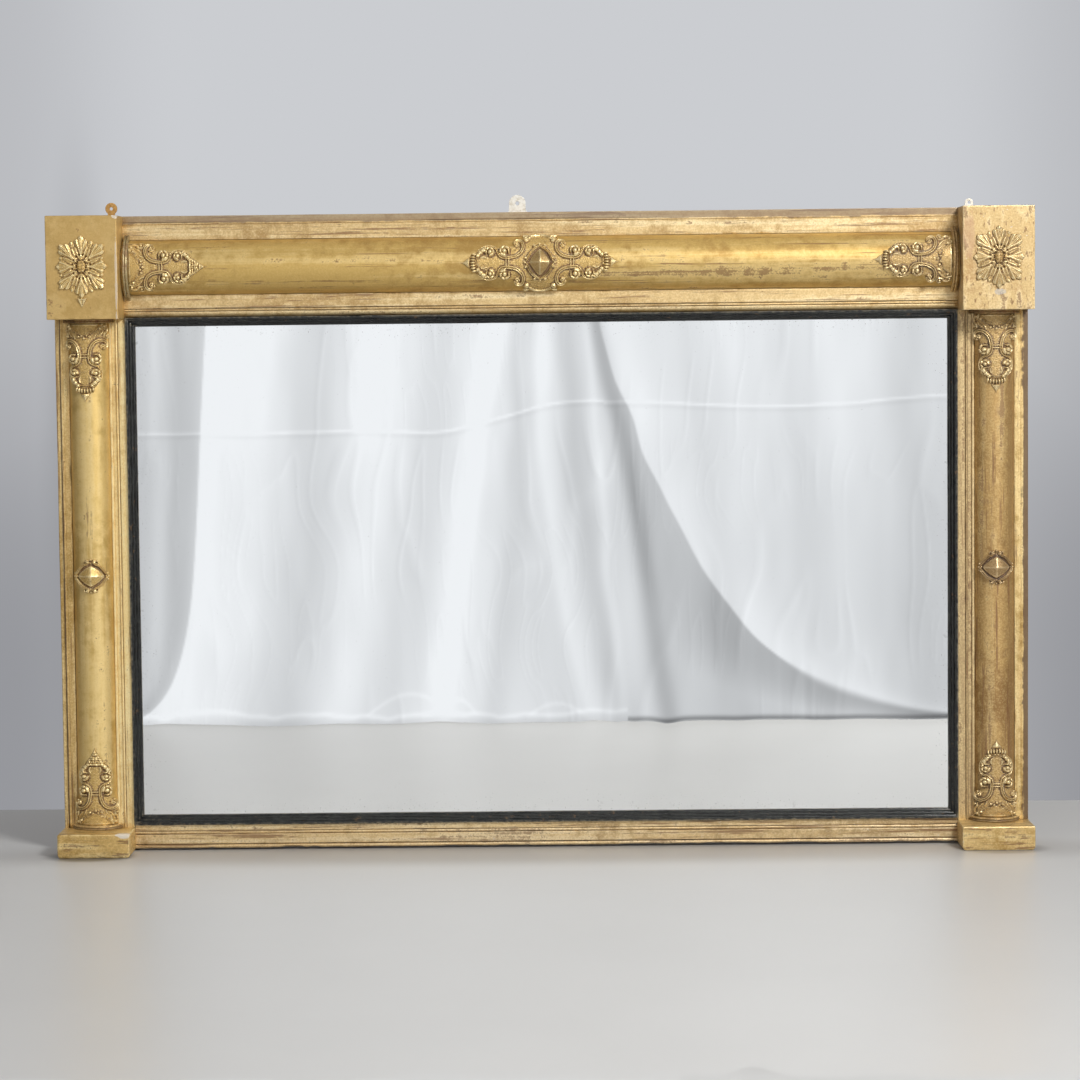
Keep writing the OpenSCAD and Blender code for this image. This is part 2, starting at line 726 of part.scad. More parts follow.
module centre_mount(r) {
  cartouche(r);
  for (dir = [-1, 1]) side(dir) spray(r);
  left_spray = [for (i = [len(spray_ground) - 1:-1:0]) [-spray_ground[i][0], spray_ground[i][1]]];
  ornament_ground(r, concat(left_spray, [[-20, 42], [-13, 51], [13, 51], [20, 42]], spray_ground));
  for (dir = [-1, 1]) {
    bar(r, [for (u = [-1:0.25:1]) [17 * u, dir * (49 - 9 * u * u)]], scroll_r);
    for (s = [-17, 17]) seated(r, s, dir * 41) bud(3.2, 3.7);
  }
}

// Lays an ornament, drawn along x, on the frieze column or on the right-hand side column
module on_frieze(x) translate([x, -carcass_t, frieze_column_z]) children();
module on_column(z) translate([column_x, -carcass_t, z]) rotate([0, -90, 0]) children();

module frieze_centre_ornament() color(gilding) placed() union() on_frieze(0) centre_mount(frieze_column_r);
module left_frieze_ornament() color(gilding) placed() union()
  on_frieze(mount_gap - collar_x) end_mount(frieze_column_r);
module right_frieze_ornament() color(gilding) placed() union()
  on_frieze(collar_x - mount_gap) mirror([1, 0, 0]) end_mount(frieze_column_r);

module column_top_ornament()
  on_column(block_z - neck_ring_h - mount_gap) mirror([1, 0, 0]) end_mount(column_r);
module column_foot_ornament()
  on_column(plinth_h + base_ring_h + mount_gap) end_mount(column_r);

module left_column_top_ornament() color(gilding) placed() side(-1) union() column_top_ornament();
module right_column_top_ornament() color(bronze_gilding) placed() side(1) union() column_top_ornament();
module left_column_foot_ornament() color(gilding) placed() side(-1) union() column_foot_ornament();
module right_column_foot_ornament() color(bronze_gilding) placed() side(1) union() column_foot_ornament();
module left_side_boss() color(bronze_gilding) placed() side(-1) union() on_column(boss_z) side_boss();
module right_side_boss() color(bronze_gilding) placed() side(1) union() on_column(boss_z) side_boss();

// ---------- Rosettes ----------

leaf_n = 16;
rosette_edge_t = 1.2;

// Length of leaf i, counted round from the right: those on the diagonals are long, the odd ones short
function leaf_l(i) = let (
    a = 360 * i / leaf_n,
    oval = 1 / norm([cos(a) / rosette_r, sin(a) / rosette_long]))
  i % 4 == 2 ? rosette_long : i % 2 == 1 ? oval * 0.93 : oval;

// Across a leaf, in shares of the angle between two: its middle groove, two ribs, and its edges.
// Each entry is [angle, reach of the toothed outline, height of the ribs].
leaf_across = [[-0.5, 0.7, 0.3], [-0.31, 0.88, 0.75], [-0.17, 0.82, 1], [0, 1, 0.75], [0.17, 0.82, 1],
  [0.31, 0.88, 0.75]];

// One ring of points round the rosette: share of the outline's reach, height at the edges, rise of the ribs
function leaf_ring(share, z, rise) = [
  for (i = [0:leaf_n - 1], p = leaf_across) let (
      a = -360 * (i + p[0]) / leaf_n,
      reach = share * leaf_l(i) * p[1])
    [reach * cos(a), reach * sin(a), z + rise * p[2]]];

// The round of points under the pod where all the leaves end
function heart_ring(z, rise) = [
  for (i = [0:leaf_n - 1], p = leaf_across) let (a = -360 * (i + p[0]) / leaf_n)
    [rosette_r * 0.08 * cos(a), rosette_r * 0.08 * sin(a), z + rise * p[2]]];

// Drawn facing +Z: sixteen ribbed leaves with toothed tips, a pod of berries and a pointed drop
module rosette(has_tip) {
  leaf_t = rosette_t * 0.4;
  skin([heart_ring(0, 0), leaf_ring(1, 0, 0), leaf_ring(1, rosette_edge_t, 0),
    leaf_ring(0.7, rosette_edge_t, leaf_t), heart_ring(rosette_edge_t, leaf_t * 0.6)]);
  pod_w = rosette_r * 0.15;
  pod_h = rosette_long * 0.22;
  rotate([-90, 0, 0]) for (x = [-0.5, 0.5], z = [-0.75, -0.25, 0.25, 0.75])
    translate([x * pod_w, -rosette_edge_t / 2, z * pod_h])
      bud(pod_w * 0.55, rosette_t * (1.05 - 0.2 * abs(z)) - rosette_edge_t / 2);
  if (has_tip) hull() {
    translate([-pod_w * 1.4, -rosette_long - 1, 0]) cube([pod_w * 2.8, 1, rosette_edge_t * 2]);
    translate([-0.5, -rosette_long - pod_w * 2.4, 0]) cube([1, 1, rosette_edge_t]);
    translate([-pod_w * 0.7, -rosette_long * 0.9, 0]) cube([pod_w * 1.4, 1, rosette_edge_t * 2]);
  }
}

module on_block() translate([half_w - block_w / 2, -block_f, overall_h - block_h / 2 + rosette_up])
  rotate([90, 0, 0]) children();

module left_rosette() color(gilding) placed() side(-1) union() on_block() rosette(true);
module right_rosette() color(bronze_gilding) placed() side(1) union() on_block() rosette(false);

// ---------- The nodes ----------

left_stile();
right_stile();
top_rail();
bottom_rail();
frieze_upper_moulding();
frieze_lower_moulding();
base_moulding();
left_outer_moulding();
left_inner_moulding();
right_outer_moulding();
right_inner_moulding();
frieze_column();
left_column();
right_column();
left_corner_block();
right_corner_block();
left_plinth();
right_plinth();
left_frieze_collar();
right_frieze_collar();
left_neck_ring();
right_neck_ring();
left_base_ring();
right_base_ring();
slip_top();
slip_bottom();
slip_left();
slip_right();
mirror_plate();
glue_blocks();
for (i = [1:board_n])
  backboard(i);
frieze_centre_ornament();
left_frieze_ornament();
right_frieze_ornament();
left_column_top_ornament();
right_column_top_ornament();
left_column_foot_ornament();
right_column_foot_ornament();
left_side_boss();
right_side_boss();
left_rosette();
right_rosette();
hanging_plate_centre();
hanging_plate_left();
hanging_plate_right();
plate_screws();
lap_screws();
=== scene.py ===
import math
import bpy
import bmesh
import numpy as np
from mathutils import Matrix, Vector
from statistics import NormalDist


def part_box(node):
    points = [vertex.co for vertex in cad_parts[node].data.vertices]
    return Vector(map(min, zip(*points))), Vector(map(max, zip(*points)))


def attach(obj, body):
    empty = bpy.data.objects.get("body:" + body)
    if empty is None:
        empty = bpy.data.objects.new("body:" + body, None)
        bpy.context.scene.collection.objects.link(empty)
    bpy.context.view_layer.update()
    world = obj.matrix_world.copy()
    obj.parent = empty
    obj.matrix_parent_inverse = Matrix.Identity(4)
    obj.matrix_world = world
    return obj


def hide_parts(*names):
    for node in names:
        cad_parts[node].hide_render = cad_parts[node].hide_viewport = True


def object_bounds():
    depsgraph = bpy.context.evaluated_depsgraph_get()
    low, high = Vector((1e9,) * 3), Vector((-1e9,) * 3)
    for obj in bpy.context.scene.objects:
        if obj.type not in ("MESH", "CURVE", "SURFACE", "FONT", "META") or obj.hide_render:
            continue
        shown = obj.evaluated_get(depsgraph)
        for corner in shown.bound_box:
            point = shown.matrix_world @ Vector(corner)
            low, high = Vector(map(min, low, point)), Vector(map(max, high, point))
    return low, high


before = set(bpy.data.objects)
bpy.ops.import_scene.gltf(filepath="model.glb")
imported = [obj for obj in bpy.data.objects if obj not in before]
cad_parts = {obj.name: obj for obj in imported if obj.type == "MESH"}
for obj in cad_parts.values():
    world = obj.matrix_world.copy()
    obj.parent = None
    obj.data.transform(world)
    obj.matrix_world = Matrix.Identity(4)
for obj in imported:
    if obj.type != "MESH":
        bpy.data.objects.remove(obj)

# Giltwood overmantel mirror, in metres: its face looks toward -Y and z is up from the shelf.
cad_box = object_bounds()
scene = bpy.context.scene
scene.view_settings.view_transform = "Standard"
MM = 0.001
X, Y, Z = 0, 1, 2

# The planes and axes of the frame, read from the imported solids
carcass_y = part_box("left_column")[1].y
column_r = (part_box("left_column")[1].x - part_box("left_column")[0].x) / 2
column_x = (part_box("right_column")[1].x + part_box("right_column")[0].x) / 2
frieze_r = (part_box("frieze_column")[1].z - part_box("frieze_column")[0].z) / 2
frieze_z = (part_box("frieze_column")[1].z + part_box("frieze_column")[0].z) / 2
glass_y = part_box("mirror_plate")[0].y


# ---------- Repeatable unevenness ----------

def scatter(*cell):
    """A repeatable value from 0 to 1 for each whole-numbered cell."""
    value = np.sin(sum(c * k for c, k in zip(cell, (12.9898, 78.233, 37.719, 11.131)))) * 43758.5453
    return value - np.floor(value)


def swell(points, size, seed=0.0):
    """Smooth noise from -1 to 1, in waves of about that size, at points given as one array per axis."""
    at = [p / size for p in points]
    cell = [np.floor(a) for a in at]
    part = [a - c for a, c in zip(at, cell)]
    part = [u * u * (3 - 2 * u) for u in part]
    total = 0
    for corner in np.ndindex(*(2,) * len(at)):
        weight = 1
        for u, k in zip(part, corner):
            weight = weight * (u if k else 1 - u)
        total = total + weight * scatter(*[c + k for c, k in zip(cell, corner)], seed)
    return 2 * total - 1


def pebbles(s, t, pitch):
    """Height, 0 to 1, of small round punch marks, one to a cell."""
    i, j = np.floor(s / pitch), np.floor(t / pitch)
    best = np.full(s.shape, 9.0)
    for a in (-1, 0, 1):
        for b in (-1, 0, 1):
            p = i + a + 0.2 + 0.6 * scatter(i + a, j + b)
            q = j + b + 0.2 + 0.6 * scatter(i + a, j + b, 5.0)
            best = np.minimum(best, (s / pitch - p) ** 2 + (t / pitch - q) ** 2)
    return np.clip(1 - 3.5 * best, 0, 1)


def ramp(value, low, high):
    """Smooth step from 0 at low to 1 at high."""
    u = np.clip((value - low) / (high - low), 0, 1)
    return u * u * (3 - 2 * u)


# ---------- Finishes ----------

def rgb(r, g, b):
    """The linear colour of a 0 to 255 screen colour."""
    return tuple(((v / 255 + 0.055) / 1.055) ** 2.4 if v > 10 else v / 3294.6 for v in (r, g, b)) + (1.0,)


def operator(operation, turned=False):
    def method(self, other):
        pair = (other, self) if turned else (self, other)
        return self.finish.add("Math", {"operation": operation}, dict(enumerate(pair)))
    return method


class Wire:
    """A value on a socket; arithmetic on it adds Math nodes."""

    def __init__(self, finish, socket):
        self.finish, self.socket = finish, socket

    __add__ = __radd__ = operator("ADD")
    __mul__ = __rmul__ = operator("MULTIPLY")
    __sub__ = operator("SUBTRACT")
    __rsub__ = operator("SUBTRACT", True)
    __truediv__ = operator("DIVIDE")
    __pow__ = operator("POWER")


class Finish:
    """A node material, built from Object coordinates and the piece's own relief."""

    def __init__(self, name, tree=None):
        if tree is None:
            self.material = bpy.data.materials.new(name)
            self.material.use_nodes = True
            tree = self.material.node_tree
        self.tree = tree
        self.shader = tree.nodes.get("Principled BSDF")
        self.here = None

    def add(self, kind, settings=None, sockets=None, out=0):
        """Any node: its settings first, then values or links for its sockets."""
        node = self.tree.nodes.new("ShaderNode" + kind)
        for key, value in (settings or {}).items():
            setattr(node, key, value)
        for key, value in (sockets or {}).items():
            self.feed(node.inputs[key], value)
        return Wire(self, node.outputs[out])

    def feed(self, socket, value):
        if isinstance(value, Wire):
            self.tree.links.new(value.socket, socket)
        else:
            socket.default_value = value

    def place(self):
        if self.here is None:
            self.here = self.add("TexCoord", out=3)
        return self.here

    def axis(self, index):
        return self.add("SeparateXYZ", sockets={0: self.place()}, out=index)

    def relief(self):
        return self.add("Attribute", {"attribute_name": "relief"}, out=2)

    def noise(self, scale, detail=4, rough=0.55, stretch=(1, 1, 1), shift=(0, 0, 0), warp=0.0):
        at = self.add("Mapping", sockets={"Vector": self.place(), "Scale": stretch, "Location": shift})
        return self.add("TexNoise", sockets={"Vector": at, "Scale": scale, "Detail": detail,
                                             "Roughness": rough, "Distortion": warp})

    def cells(self, scale, stretch):
        at = self.add("Mapping", sockets={"Vector": self.place(), "Scale": stretch})
        return self.add("TexVoronoi", sockets={"Vector": at, "Scale": scale})

    def between(self, value, low, high):
        return self.add("MapRange", {"interpolation_type": "SMOOTHSTEP"},
                        {"Value": value, "From Min": low, "From Max": high})

    def cover(self, value, share, soft=0.5, spread=0.1):
        """Masks about that share of the surface, where noise round 0.5 is highest."""
        level = 0.5 + spread * NormalDist().inv_cdf(1 - share)
        return self.between(value, level - soft * spread, level + soft * spread)

    def region(self, centre, halves, wobble=0.0, soft=0.1):
        """1 inside an ellipsoid round a point, with an uneven edge."""
        away = self.add("VectorMath", {"operation": "SUBTRACT"}, {0: self.place(), 1: centre})
        away = self.add("VectorMath", {"operation": "DIVIDE"}, {0: away, 1: halves})
        away = self.add("VectorMath", {"operation": "LENGTH"}, {0: away}, out=1)
        return self.between(away + wobble, 1 + soft, 1 - soft)

    def size_of(self, value):
        return self.add("Math", {"operation": "ABSOLUTE"}, {0: value})

    def either(self, a, b):
        return self.add("Math", {"operation": "MAXIMUM"}, {0: a, 1: b})

    def blend(self, a, b, mask):
        return self.add("Mix", {"data_type": "RGBA"}, {0: mask, 6: a, 7: b}, out=2)

    def surface(self, colour, rough, metal=0.0, height=None, depth=0.0003, **even):
        self.feed(self.shader.inputs["Base Color"], colour)
        self.feed(self.shader.inputs["Roughness"], rough)
        self.feed(self.shader.inputs["Metallic"], metal)
        if height is not None:
            bump = self.add("Bump", sockets={"Strength": 1.0, "Distance": depth, "Height": height})
            self.feed(self.shader.inputs["Normal"], bump)
        for key, value in even.items():
            self.feed(self.shader.inputs[key.replace("_", " ").title().replace("Ior", "IOR")], value)
        return self.material


LEAF = rgb(212, 178, 112)
PALE_LEAF = rgb(244, 220, 160)
DEEP_LEAF = rgb(182, 146, 82)
BOLE = rgb(120, 82, 48)
GESSO = rgb(226, 216, 200)
# Dark brown of dirt, also laid as painted shade in hollows and along column flanks
GRIME_AND_SHADE = rgb(92, 68, 44)
FAR = 9.0        # half a length that passes every end, in metres
SPECKS = 0.02    # share of the leaf that fly specks cover


def gilding(name, grain, leaf=LEAF, pale=PALE_LEAF, deep=DEEP_LEAF, streaks=0.1, rubbed=0.08, glints=0.3,
            losses=0.008, speckle=0.3, dirt_and_shade=0.6, satin=0.44, edge_shade=None, marks=(), shift=0.0):
    """Worn leaf over bole and gesso: grain gives the scale of its brush lines on each axis. Its hollows, and
    a column's flanks where it meets the flats, are darkened with dirt and painted shade; its arrises are
    paled with wear and a painted highlight.
    """
    f = Finish(name)
    relief = f.relief()
    at = (shift, shift * 0.7, shift * 1.3)
    clouds = f.noise(7, 2, 0.5, shift=at)
    mottle = f.noise(60, 5, 0.62, shift=at)
    broad = f.noise(1, 4, 0.6, stretch=tuple(0.3 * g for g in grain), shift=at)
    brush = f.noise(1, 4, 0.65, stretch=grain, shift=at)
    fine = f.noise(420, 3, 0.6, shift=at)
    colour = f.blend(deep, leaf, f.cover(clouds * 0.5 + mottle * 0.5, 0.7, 1.3, 0.07))
    colour = f.blend(colour, pale, f.cover(broad * 0.75 + mottle * 0.25, glints, 0.8, 0.079) * 0.75)
    grit = f.noise(400, 4, 0.65, shift=at)
    colour = f.blend(colour, pale, f.cover(grit, 0.3, 0.8) * speckle)
    colour = f.blend(colour, deep, f.cover(1 - grit, 0.3, 0.8) * speckle)
    arris = f.between(relief, 0.56, 0.78)
    lines = f.cover(brush * 0.8 + mottle * 0.2, streaks, 0.5, 0.082)
    patches = f.cover(broad * 0.6 + mottle * 0.25 + fine * 0.15, rubbed, 0.4, 0.067)
    worn = f.either(lines * 0.75, patches * 0.7)
    colour = f.blend(colour, BOLE, worn)
    # Pale leaf on the arrises: rubbed wear, and a painted highlight.
    colour = f.blend(colour, pale, arris * f.cover(mottle, 0.7, 0.8) * 0.75)
    # Hollows, and a column's flanks where it meets the flats, are darkened: dirt with painted shade.
    hollow = f.between(relief + (mottle - 0.5) * 0.3, 0.42, 0.2)
    if edge_shade:
        axis, centre, half, edge_shade_amount = edge_shade
        out = f.size_of(f.axis(axis) - centre) * (1 / half) + (mottle - 0.5) * 0.2
        hollow = f.either(hollow, f.between(out, 0.9, 1.04) * edge_shade_amount)
    colour = f.blend(colour, GRIME_AND_SHADE, hollow * dirt_and_shade)
    colour = f.blend(colour, GRIME_AND_SHADE, f.cover(fine * 0.7 + mottle * 0.3, SPECKS, 0.3, 0.075) * 0.6)
    metal = (1 - worn * 0.7) * (1 - hollow * 0.8) * 0.55
    for centre, halves, stain, amount in marks:
        mask = f.region(centre, halves, (mottle - 0.5) * 1.1 + (brush - 0.5) * 1.4) * amount
        colour = f.blend(colour, stain, mask)
        metal = metal * (1 - mask)
    flaked = f.cover(f.noise(130, 4, 0.7, shift=at) + arris * 0.09, losses, 0.12)
    colour = f.blend(colour, GESSO, flaked * 0.85)
    metal = metal * (1 - flaked)
    rough = satin + worn * 0.14 + (mottle - 0.5) * 0.3 + hollow * 0.15
    return f.surface(colour, rough, metal, brush * 0.45 + mottle * 0.35 + fine * 0.1 + flaked * -0.25, 0.0006)


def composition(name, leaf, pale, dirt_and_shade_colour, shift=0.0, marks=()):
    """Cast composition: painted highlights on its ridges, and dirt with painted shade in its hollows."""
    f = Finish(name)
    relief = f.relief()
    at = (shift, 0, shift)
    mottle = f.noise(110, 4, 0.6, shift=at)
    fine = f.noise(600, 3, 0.6)
    level = relief + (mottle - 0.5) * 0.3
    # Dark hollows: dirt and painted shade.
    colour = f.blend(dirt_and_shade_colour, leaf, f.between(level, 0.14, 0.42))
    # Pale ridges: a painted highlight.
    colour = f.blend(colour, pale, f.between(level, 0.54, 0.8) * 0.85)
    colour = f.blend(colour, BOLE, f.cover(mottle * 0.6 + fine * 0.4, 0.13, 0.5, 0.072) * 0.5)
    grit = f.noise(760, 2, 0.5)
    colour = f.blend(colour, pale, f.cover(grit, 0.18, 0.5) * 0.4)
    colour = f.blend(colour, dirt_and_shade_colour, f.cover(1 - grit, 0.14, 0.5) * 0.45)
    for centre, halves, stain, amount in marks:
        colour = f.blend(colour, stain, f.region(centre, halves, (mottle - 0.5) * 0.9) * amount)
    metal = f.between(level, 0.3, 0.55) * 0.55
    rough = 0.52 - 0.16 * f.between(level, 0.45, 0.75)
    return f.surface(colour, rough, metal, fine * 0.4 + mottle * 0.6, 0.0004)


def pine(name, run, tone=(196, 160, 112), washed=False):
    """Old bare softwood, grained along one axis; the sides of the frame have an ochre wash."""
    f = Finish(name)
    lengthwise = tuple(1.2 if k == run else 26 for k in range(3))
    hair = tuple(9 if k == run else 900 for k in range(3))
    rings = f.noise(1.6, 3, 0.5, stretch=lengthwise, warp=1.2)
    lines = f.add("Math", {"operation": "SINE"}, {0: rings * 46})
    grain = f.noise(1, 4, 0.6, stretch=hair)
    dust = f.noise(7, 4, 0.6)
    dark = rgb(*[v * 0.62 for v in tone])
    colour = f.blend(rgb(*tone), dark, f.between(lines, 0.1, 1.0) * 0.55)
    colour = f.blend(colour, rgb(*[v * 0.8 for v in tone]), f.between(grain, 0.45, 0.7) * 0.5)
    colour = f.blend(colour, rgb(120, 104, 84), f.between(dust, 0.5, 0.75) * 0.5)
    knots = f.cells(5, tuple(0.5 if k == run else 1.6 for k in range(3)))
    colour = f.blend(colour, rgb(92, 58, 34), f.between(knots, 0.085, 0.045) * 0.85)
    if washed:
        outside = f.between(f.size_of(f.axis(X)), 0.6730, 0.6736)
        ochre = f.blend(rgb(178, 146, 92), rgb(146, 114, 72), f.between(f.noise(60, 5, 0.7), 0.42, 0.66))
        ochre = f.blend(ochre, GESSO, f.between(f.noise(45, 5, 0.75), 0.66, 0.69) * 0.8)
        colour = f.blend(colour, ochre, outside)
    return f.surface(colour, 0.68 + grain * 0.2, 0.0, grain * 0.5 + lines * 0.3, 0.0004)


def ebonised(name):
    """Black polish on the slip, greenish where light catches it, and paler on the reeds' crowns: rubbed brown
    wear with a painted highlight.
    """
    f = Finish(name)
    mottle = f.noise(160, 4, 0.6)
    colour = f.blend(rgb(14, 15, 14), rgb(34, 36, 32), f.cover(mottle, 0.5, 1))
    # Paler crowns: rubbed wear, and a painted highlight along the reeds.
    crown = f.between(f.relief() + (mottle - 0.5) * 0.5, 0.56, 0.72)
    colour = f.blend(colour, rgb(134, 122, 98), crown * 0.6)
    colour = f.blend(colour, rgb(120, 92, 60), f.cover(f.noise(90, 4, 0.7), 0.06, 0.4) * 0.6)
    return f.surface(colour, 0.3 + mottle * 0.18, 0.0, mottle, 0.0003, coat_weight=0.22, coat_roughness=0.14)


def silvering(name):
    """Old silvered plate: a clean reflection with foxed specks, mostly near the edge, and a painted back."""
    f = Finish(name)
    lo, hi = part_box("mirror_plate")
    rim = f.either(f.size_of(f.axis(X)) - (hi.x - 0.02), f.size_of(f.axis(Z) - (lo.z + hi.z) / 2)
                   - ((hi.z - lo.z) / 2 - 0.02))
    near_rim = f.between(rim, -0.03, 0.012)
    grains = f.noise(520, 3, 0.6)
    spots = f.between(grains + near_rim * 0.07, 0.735, 0.76)
    haze = f.between(f.noise(70, 4, 0.6) + near_rim * 0.16, 0.78, 0.9)
    back = f.between(f.axis(Y), glass_y + 0.0006, glass_y + 0.001)
    colour = f.blend(rgb(250, 251, 250), rgb(110, 106, 98), spots * 0.8)
    colour = f.blend(colour, rgb(176, 176, 172), haze * 0.5)
    paint = f.blend(rgb(88, 72, 60), rgb(58, 50, 46), f.noise(14, 4, 0.6))
    colour = f.blend(colour, paint, back)
    metal = (1 - back) * (1 - spots * 0.6)
    rough = 0.015 + spots * 0.3 + haze * 0.12 + back * 0.6
    return f.surface(colour, rough, metal, f.noise(2.2, 2, 0.4), 0.0003)


def plate_paint(name, colour_a, colour_b, rust, metal=0.0):
    """Brushed paint over iron, chipped to rust at its edges."""
    f = Finish(name)
    mottle = f.noise(220, 4, 0.65)
    colour = f.blend(colour_a, colour_b, f.between(mottle, 0.4, 0.7))
    chipped = f.between(f.relief() + mottle * 0.5, 0.98, 1.06)
    chipped = f.either(chipped, f.between(f.noise(330, 4, 0.7), 0.7, 0.73))
    colour = f.blend(colour, rust, chipped * 0.85)
    return f.surface(colour, 0.42 + mottle * 0.25, metal, mottle + chipped * -0.5, 0.0003)


def iron(name):
    """Dull steel of screws and nails, with brown rust in its hollows."""
    f = Finish(name)
    mottle = f.noise(700, 4, 0.65)
    rusty = f.between(mottle * 0.7 + (0.6 - f.relief()) * 0.5, 0.42, 0.56)
    colour = f.blend(rgb(138, 134, 128), rgb(92, 58, 38), rusty)
    return f.surface(colour, 0.4 + rusty * 0.35, 0.9 - rusty * 0.8, mottle, 0.0002)


# ---------- Making pieces ----------

RELIEF_GAIN = 3.0    # how strongly a bend shows in the relief


def relief_of(mesh):
    """How far each point stands out: 0.5 on a flat, toward 1 on an arris and toward 0 in a hollow."""
    count = len(mesh.vertices)
    at, out = np.empty(count * 3), np.empty(count * 3)
    mesh.vertices.foreach_get("co", at)
    mesh.vertex_normals.foreach_get("vector", out)
    at, out = at.reshape(-1, 3), out.reshape(-1, 3)
    pairs = np.empty(len(mesh.edges) * 2, int)
    mesh.edges.foreach_get("vertices", pairs)
    a, b = pairs.reshape(-1, 2).T
    way = at[b] - at[a]
    way /= np.maximum(np.linalg.norm(way, axis=1, keepdims=True), 1e-9)
    ends = np.concatenate([a, b])
    links = np.maximum(np.bincount(ends, minlength=count), 1)
    rise = np.concatenate([-(way * out[a]).sum(1), (way * out[b]).sum(1)])
    rise = np.bincount(ends, rise, count) / links
    rise = 0.5 * rise + 0.5 * np.bincount(ends, rise[np.concatenate([b, a])], count) / links
    return at, out, 0.5 + 0.5 * np.clip(rise * RELIEF_GAIN, -1, 1)


def mark_relief(mesh, values):
    layer = mesh.attributes.new("relief", "FLOAT", "POINT")
    layer.data.foreach_set("value", np.asarray(values, np.float32))


def piece(name, bm, finish, slot, *nodes, sharp=38):
    """Makes a piece of a bmesh and puts it on the frame in place of its CAD nodes."""
    mesh = bpy.data.meshes.new(name)
    bm.to_mesh(mesh)
    bm.free()
    if "custom_normal" in mesh.attributes:
        mesh.attributes.remove(mesh.attributes["custom_normal"])
    mesh.shade_smooth()
    mesh.set_sharp_from_angle(angle=math.radians(sharp))
    mesh.materials.clear()
    mesh.materials.append(finish)
    thing = bpy.data.objects.new(name, mesh)
    scene.collection.objects.link(thing)
    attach(thing, "root")
    if nodes:
        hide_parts(*nodes)
    return thing


def dress(node, finish, slot, run=None, pitch=1.6, step=8.0, soft=0.4, sway=0.2, chips=0.0, shape=None,
          across=(X, Y, Z)):
    """A worked copy of a CAD piece: soft arrises, a fine skin, a hand-made sway and chipped corners."""
    bm = bmesh.new()
    bm.from_mesh(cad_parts[node].data)
    bmesh.ops.remove_doubles(bm, verts=bm.verts[:], dist=2e-6)
    bmesh.ops.dissolve_limit(bm, angle_limit=math.radians(0.4), verts=bm.verts[:], edges=bm.edges[:])
    arrises = [e for e in bm.edges
               if len(e.link_faces) == 2 and e.calc_face_angle_signed(0) > math.radians(40)]
    bmesh.ops.bevel(bm, geom=arrises, offset=soft * MM, offset_type="OFFSET", segments=2, profile=0.5,
                    affect="EDGES", clamp_overlap=True, material=-1)
    lo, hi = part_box(node)
    fineness = 1.0
    for axis in across:
        if axis == run:
            continue
        n = int((hi[axis] - lo[axis]) / (pitch * MM * fineness))
        plane = Vector((axis == X, axis == Y, axis == Z))
        for k in range(1, n):
            bmesh.ops.bisect_plane(bm, geom=bm.verts[:] + bm.edges[:] + bm.faces[:], dist=1e-7,
                                   plane_co=lo + (hi - lo) * (k / n), plane_no=plane)
    if run is not None:
        long = [e for e in bm.edges if e.calc_length() > 3 * step * MM
                and abs((e.verts[0].co - e.verts[1].co).normalized()[run]) > 0.99]
        cuts = int((hi[run] - lo[run]) / (step * MM * fineness))
        bmesh.ops.subdivide_edges(bm, edges=long, cuts=cuts, use_grid_fill=True)
    thing = piece(node + "_dressed", bm, finish, slot, node)
    mesh = thing.data
    at, out, relief = relief_of(mesh)
    points = tuple(at.T)
    seed = float(sum(map(ord, node)) % 97)
    move = (swell(points, 0.11, seed) * 0.7 + swell(points, 0.013, seed + 1) * 0.3) * sway * MM
    if chips:
        edge = ramp(relief, 0.62, 0.85)
        bite = ramp(swell(points, 0.006, seed + 2) * 0.6 + swell(points, 0.03, seed + 3) * 0.4, 0.28, 0.6)
        move = move - edge * bite * chips * MM
    move = np.where(at[:, Y] > hi.y - 0.0003, 0, move)
    at = at + out * move[:, None]
    if shape:
        at = shape(at)
    mesh.vertices.foreach_set("co", at.ravel())
    mark_relief(mesh, relief)
    mesh.update()
    return thing


# ---------- Castings ----------

SEAT = -0.5    # height of a casting's flat underside, in millimetres
DRAFT = 5.5    # steepness of its walls
STEPS = 7      # of a smooth path between two of its points


def smooth_path(points):
    """Points of a smooth curve through flat points."""
    p = np.array([points[0], *points, points[-1]], float)
    curve = []
    for i in range(1, len(p) - 2):
        for u in np.arange(STEPS) / STEPS:
            curve.append(0.5 * (2 * p[i] + (p[i + 1] - p[i - 1]) * u
                                + (2 * p[i - 1] - 5 * p[i] + 4 * p[i + 1] - p[i + 2]) * u ** 2
                                + (3 * p[i] - p[i - 1] - 3 * p[i + 1] + p[i + 2]) * u ** 3))
    return np.array(curve + [p[-2]])


